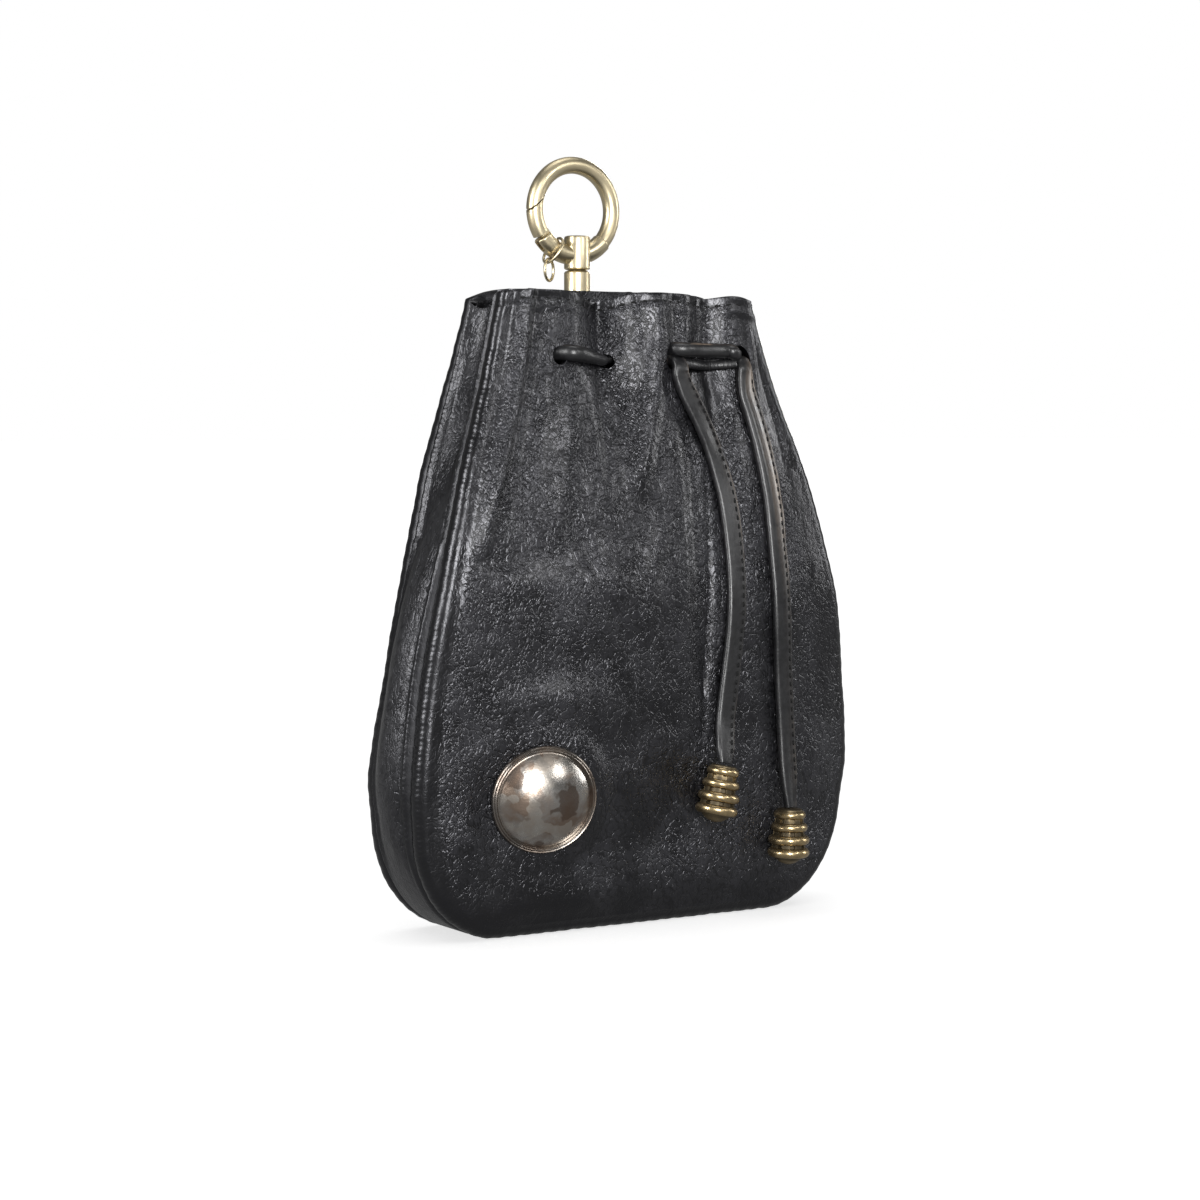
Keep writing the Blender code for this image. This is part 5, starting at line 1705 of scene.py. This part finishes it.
def leather_material(name, tones, stretch, grain, shine):
    """Waxed leather: swirling fine creases over soft pebbles, with a ribbed welt; its colour is
    painted darker in the grain's creases and lighter on its crests as painted shade and highlight,
    and the seam groove is darkened as painted shade.
    """
    material, tree, shader = start_material(name)
    place = place_of(tree, stretch)
    bent = warped(tree, place, SWIRL_SCALE, SWIRL_REACH)
    creases = crease_lines(tree, cloud(tree, bent, CREASE_SCALE, 1.2, 0.5), 0.070)
    finer = crease_lines(tree, cloud(tree, bent, FINE_CREASE_SCALE, 1.0, 0.5), 0.09)
    breaks = cloud(tree, bent, BREAK_SCALE, 2.0, 0.5, "RIDGED_MULTIFRACTAL")
    pores = cloud(tree, place, PORE_SCALE, 2.0)
    soft = cloud(tree, place, SOFT_SCALE, 3.0)
    fine = times(tree, creases, 0.42)
    for part, share in ((finer, 0.26), (breaks, 0.16), (pores, 0.10)):
        fine = plus(tree, fine, times(tree, part, share))
    seam = attribute(tree, "seam")
    patch = ranged(tree, cloud(tree, place, PATCH_SCALE, 2.0), 0.32, 0.66, 0.40, 1.0)
    near_seam = ranged(tree, seam, 0.05, 0.35, 1.0, 0.30)
    pressed = ranged(tree, attribute(tree, "calm"), 0.0, 1.0, 1.0, 0.10)
    calm = times(tree, near_seam, pressed)
    height = times(tree, times(tree, fine, patch), calm)
    rib = maths(tree, "SINE", times(tree, attribute(tree, "run"), 2 * math.pi))
    ribbed = times(tree, ranged(tree, seam, 0.25, 0.50, 0.0, 1.0),
                   ranged(tree, seam, 0.62, 0.80, 1.0, 0.0))
    rib = times(tree, rib, ribbed)
    normal = bump(tree, soft, 0.40, SOFT_BUMP)
    normal = bump(tree, rib, 0.25, RIB_BUMP, normal)
    normal = bump(tree, height, grain, GRAIN_BUMP, normal)
    tree.links.new(normal, shader.inputs["Normal"])
    # Painted shade and highlight: the colour follows the grain's height, dark in the crease lines and
    # light on the crests, mixed with random soft tone
    tone = ranged(tree, times(tree, height, soft), 0.08, 0.34, 0.0, 1.0)
    colour = blended(tree, tone, *tones)
    # Painted shade: the colour in the seam groove, where welt meets gusset, is pulled towards
    # near-black
    groove = ranged(tree, seam, 0.78, 0.98, 0.0, 0.85)
    feed(tree, shader, "Base Color", blended(tree, groove, colour, SEAM_GROOVE_PAINTED_SHADE))
    rough = ranged(tree, soft, 0.3, 0.7, shine - 0.08, shine + 0.04)
    feed(tree, shader, "Roughness", plus(tree, rough, times(tree, groove, 0.3)))
    shader.inputs["Coat Weight"].default_value = 0.10
    shader.inputs["Coat Roughness"].default_value = 0.24
    shader.inputs["Specular IOR Level"].default_value = 0.42
    shader.inputs["Specular Tint"].default_value = (0.94, 0.94, 1.0, 1.0)
    return material


def lace_material(name):
    """Smooth black lace, with light brown raw edges."""
    material, tree, shader = start_material(name)
    place = place_of(tree)
    grain = cloud(tree, place, 900.0, 3.0)
    streaks = cloud(tree, place_of(tree, (1.0, 1.0, 0.25)), 1400.0, 2.0)
    worn = cloud(tree, place, 210.0, 3.0)
    rubbed = ranged(tree, worn, 0.36, 0.52, 0.15, 0.95)
    raw = times(tree, attribute(tree, "raw_edge"), rubbed)
    body = blended(tree, ranged(tree, grain, 0.3, 0.7, 0.0, 1.0), *LACE_TONES)
    feed(tree, shader, "Base Color", blended(tree, raw, body, RAW_EDGE))
    feed(tree, shader, "Roughness", ranged(tree, worn, 0.3, 0.7, 0.30, 0.46))
    normal = bump(tree, grain, 0.35, 0.00018)
    tree.links.new(bump(tree, streaks, 0.2, 0.00008, normal), shader.inputs["Normal"])
    shader.inputs["Coat Weight"].default_value = 0.10
    shader.inputs["Coat Roughness"].default_value = 0.35
    return material


def thread_material(name):
    """Waxed black thread, with the twist of its strands."""
    material, tree, shader = start_material(name)
    twist = tree.nodes.new("ShaderNodeTexWave")
    feed(tree, twist, "Vector", place_of(tree, (1.0, 1.0, 1.0), (0.0, 0.6, 0.0)))
    feed(tree, twist, "Scale", 900.0)
    feed(tree, twist, "Distortion", 1.5)
    tree.links.new(bump(tree, twist.outputs["Fac"], 0.6, 0.0001), shader.inputs["Normal"])
    feed(tree, shader, "Base Color", blended(tree, twist.outputs["Fac"], *THREAD_TONES))
    feed(tree, shader, "Roughness", ranged(tree, twist.outputs["Fac"], 0.0, 1.0, 0.62, 0.80))
    shader.inputs["Specular IOR Level"].default_value = 0.22
    return material


def satin_metal(name, tones, rough, scratch):
    """Satin metal, with soft clouds of tone and fine scratches."""
    material, tree, shader = start_material(name)
    place = place_of(tree)
    clouds = cloud(tree, place, 210.0, 3.0)
    lines = cloud(tree, place_of(tree, (1.0, 1.0, 0.12)), 2600.0, 2.0)
    tone = ranged(tree, clouds, 0.35, 0.7, 0.0, 1.0)
    feed(tree, shader, "Base Color", blended(tree, tone, *tones))
    feed(tree, shader, "Roughness", ranged(tree, clouds, 0.3, 0.7, rough - 0.05, rough + 0.08))
    tree.links.new(bump(tree, lines, scratch, 0.00004), shader.inputs["Normal"])
    shader.inputs["Metallic"].default_value = 1.0
    return material


def antique_material(name):
    """Antique brass: bright on the crests, nearly black in the hollows."""
    material, tree, shader = start_material(name)
    place = place_of(tree)
    stain = cloud(tree, place, 620.0, 4.0, 0.6)
    wear = attribute(tree, "wear")
    bright = times(tree, wear, ranged(tree, stain, 0.30, 0.60, 0.55, 1.0))
    feed(tree, shader, "Base Color", blended(tree, bright, *ANTIQUE_TONES))
    feed(tree, shader, "Roughness", ranged(tree, bright, 0.0, 1.0, 0.52, 0.27))
    feed(tree, shader, "Metallic", ranged(tree, bright, 0.0, 0.6, 0.75, 1.0))
    tree.links.new(bump(tree, stain, 0.3, 0.00010), shader.inputs["Normal"])
    return material


def tarnish_material(name):
    """Worn silvered metal: grey and warm brown stains with eaten edges."""
    material, tree, shader = start_material(name)
    place = place_of(tree)
    bent = warped(tree, place, 150.0, 0.006)
    stains = cloud(tree, bent, 120.0, 4.0, 0.55)
    islands = cloud(tree, warped(tree, place, 260.0, 0.004), 85.0, 3.0, 0.6)
    specks = cloud(tree, place, 1500.0, 3.0)
    rim = attribute(tree, "rim")
    silver = blended(tree, ranged(tree, stains, 0.40, 0.58, 0.0, 1.0), *SILVER_TONES)
    aged = blended(tree, ranged(tree, islands, 0.54, 0.565, 0.0, 0.75), silver, BROWN_STAIN)
    pale = ranged(tree, islands, 0.425, 0.44, 0.45, 0.0)
    aged = blended(tree, pale, aged, PALE_STAIN)
    dark_rim = times(tree, rim, 0.62)
    feed(tree, shader, "Base Color", blended(tree, dark_rim, aged, RIM_TONE))
    feed(tree, shader, "Roughness", ranged(tree, stains, 0.35, 0.65, 0.22, 0.40))
    height = plus(tree, times(tree, islands, 0.8), times(tree, specks, 0.3))
    tree.links.new(bump(tree, height, 0.4, 0.00025), shader.inputs["Normal"])
    shader.inputs["Metallic"].default_value = 1.0
    return material


def floor_material():
    material, tree, shader = start_material("pale_floor")
    soft = cloud(tree, place_of(tree), 3.0, 2.0)
    path = tree.nodes.new("ShaderNodeLightPath")
    pale = blended(tree, soft, *FLOOR_TONES)
    feed(tree, shader, "Base Color",
         blended(tree, path.outputs["Is Camera Ray"], FLOOR_SEEN_BY_OBJECT, pale))
    glow = ranged(tree, path.outputs["Is Camera Ray"], 0.0, 1.0, 0.24, 0.72)
    feed(tree, shader, "Emission Strength", glow)
    shader.inputs["Emission Color"].default_value = WHITE
    shader.inputs["Roughness"].default_value = 0.9
    shader.inputs["Specular IOR Level"].default_value = 0.1
    return material


def dress(thing, material):
    thing.data.materials.clear()
    thing.data.materials.append(material)


# Scene

CAMERA_PLACE = (-0.4119, -0.6530, 0.138)
CAMERA_TURN = (math.radians(86.45), 0.0, math.radians(-32.0))
LENS = 82.2
SENSOR = 36.0

# Lamps: name, place, width, height, power
LAMPS = (
    ("key", (-0.48, -1.16, 0.34), 0.30, 0.62, 19.0),
    ("left", (-1.28, -0.10, 0.50), 0.30, 0.80, 17.0),
    ("front", (0.46, -1.12, 0.66), 0.24, 0.24, 3.5),
    ("top", (0.15, 0.10, 1.50), 0.80, 0.80, 5.0),
    ("side", (1.25, -0.45, 0.45), 0.25, 0.60, 4.5),
    ("rear", (0.95, 1.00, 0.50), 0.30, 0.60, 9.0),
)
LAMP_TARGET = (0.0, 0.0, 0.09)
FLOOR_SIZE = 60.0
SKY_POWER = 0.9
SKY_SPREAD = math.radians(80.0)
SURROUND = 0.15
WHITE = (1.0, 1.0, 1.0, 1.0)


def add_camera():
    data = bpy.data.cameras.new("camera")
    data.lens = LENS
    data.sensor_width = SENSOR
    data.clip_start = 0.01
    camera = bpy.data.objects.new("camera", data)
    camera.location = CAMERA_PLACE
    camera.rotation_euler = CAMERA_TURN
    bpy.context.scene.collection.objects.link(camera)
    bpy.context.scene.camera = camera


def add_lamp(name, place, width, height, power):
    data = bpy.data.lights.new(name, "AREA")
    data.energy = power
    data.shape = "RECTANGLE"
    data.size = width
    data.size_y = height
    lamp = bpy.data.objects.new(name, data)
    lamp.location = place
    aim = Vector(LAMP_TARGET) - Vector(place)
    lamp.rotation_euler = aim.to_track_quat("-Z", "Y").to_euler()
    bpy.context.scene.collection.objects.link(lamp)
    return lamp


def add_floor():
    deselect()
    bpy.ops.mesh.primitive_plane_add(size=FLOOR_SIZE, location=(0, 0, 0))
    floor = settle(bpy.context.object, "floor")
    dress(floor, floor_material())
    return floor


def add_lamps(floor):
    """Lamps that light all but the floor, and a wide sky that lights only the floor."""
    unlit = bpy.data.collections.new("unlit_floor")
    unlit.objects.link(floor)
    unlit.collection_objects[0].light_linking.link_state = "EXCLUDE"
    for row in LAMPS:
        add_lamp(*row).light_linking.receiver_collection = unlit
    lit = bpy.data.collections.new("lit_floor")
    lit.objects.link(floor)
    sky = bpy.data.lights.new("sky", "SUN")
    sky.energy = SKY_POWER
    sky.angle = SKY_SPREAD
    over = bpy.data.objects.new("sky", sky)
    over.light_linking.receiver_collection = lit
    bpy.context.scene.collection.objects.link(over)


def add_surround():
    """A world that looks white and lights softly."""
    world = bpy.data.worlds.new("surround")
    bpy.context.scene.world = world
    world.use_nodes = True
    tree = world.node_tree
    back = tree.nodes["Background"]
    path = tree.nodes.new("ShaderNodeLightPath")
    level = ranged(tree, path.outputs["Is Camera Ray"], 0.0, 1.0, SURROUND, 1.0)
    back.inputs["Color"].default_value = WHITE
    tree.links.new(level, back.inputs["Strength"])
    bpy.context.scene.view_settings.view_transform = "Standard"
    bpy.context.scene.view_settings.look = "None"


def finish_piece(thing, material, body, nodes=()):
    dress(thing, material)
    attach(thing, body)
    if nodes:
        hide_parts(*nodes)


def build_tails(lace, thread):
    """The two tails, each with its stitches and its bead."""
    antique = antique_material("antique_brass_worn")
    for side, route, angle, twist, open_share in (
            ("left", LEFT_TAIL_ROUTE, LEFT_BEAD_LEAN, 0.25, 0.15),
            ("right", RIGHT_TAIL_ROUTE, RIGHT_BEAD_LEAN, 0.20, 1.0)):
        points, normals, top = tail_line(route, angle)
        tail = make_tail("tail_" + side, points, normals, twist, open_share)
        finish_piece(tail, lace, "pouch", ("lace_tail_" + side,))
        rows = tail_stitches("tail_stitches_" + side, points, normals, twist)
        finish_piece(rows, thread, "pouch")
        bead = make_bead("bead_" + side, top, angle)
        finish_piece(bead, antique, "pouch", ("cord_end_" + side,))


def build_pouch(lace, thread):
    """The panels, the gusset, the lace round the mouth and the hems' stitches."""
    panel_leather = leather_material("panel_leather", PANEL_TONES_AND_PAINTED_SHADE_HIGHLIGHT, (1.0, 1.0, 0.85), 0.85, 0.33)
    side_leather = leather_material("gusset_leather", GUSSET_TONES_AND_PAINTED_SHADE_HIGHLIGHT, (1.0, 1.3, 0.7), 0.50, 0.38)
    front_holes = holes_in(FRONT_HOLES, FRONT_HOLE_WIDTHS, FRONT_HOLE_HEIGHTS)
    back_holes = holes_in(BACK_HOLES, BACK_HOLE_WIDTHS, BACK_HOLE_HEIGHTS)
    front = make_panel("front_leather", front_depth, front_relief, True, front_holes)
    finish_piece(front, panel_leather, "pouch", ("front_panel",))
    back = make_panel("back_leather", back_depth, back_relief, False, back_holes)
    finish_piece(back, panel_leather, "pouch", ("back_panel",))
    finish_piece(make_gusset("gusset_leather"), side_leather, "pouch", ("gusset",))
    finish_piece(make_lace(), lace, "pouch", ("drawstring",))
    finish_piece(make_band(), lace, "pouch")
    for name, is_front in (("hem_stitches_front", True), ("hem_stitches_back", False)):
        finish_piece(hem_stitches(name, is_front), thread, "pouch")
    return side_leather


def build_fittings(leather, thread):
    """The strap with its rivet, and the concho."""
    finish_piece(make_tab(), leather, "pouch", ("hanger_tab",))
    finish_piece(tab_stitches(), thread, "pouch")
    steel = satin_metal("plain_steel_worn", STEEL_TONES, 0.34, 0.3)
    finish_piece(make_rivet(), steel, "pouch", ("tab_rivet",))
    finish_piece(make_concho(), tarnish_material("tarnished_silver_worn"), "pouch",
                 ("concho",))


def build_swivel():
    """The swivel, its ring with the gate, and the two links."""
    brass = satin_metal("satin_brass_worn", BRASS_TONES, 0.36, 0.02)
    finish_piece(make_stub(), brass, "pouch", ("swivel_stub",))
    finish_piece(make_ring_head(), brass, "swivel", ("swivel_head",))
    finish_piece(make_ring_gate(), brass, "gate", ("ring_gate",))
    upper, lower = make_links()
    finish_piece(upper, brass, "swivel", ("jump_ring_upper",))
    finish_piece(lower, brass, "swivel", ("jump_ring_lower",))
    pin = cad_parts["gate_pin"]
    for slot in pin.material_slots:
        slot.material = brass


def main():
    add_camera()
    add_lamps(add_floor())
    add_surround()
    lace = lace_material("black_lace")
    thread = thread_material("black_thread")
    build_tails(lace, thread)
    build_fittings(build_pouch(lace, thread), thread)
    build_swivel()


main()
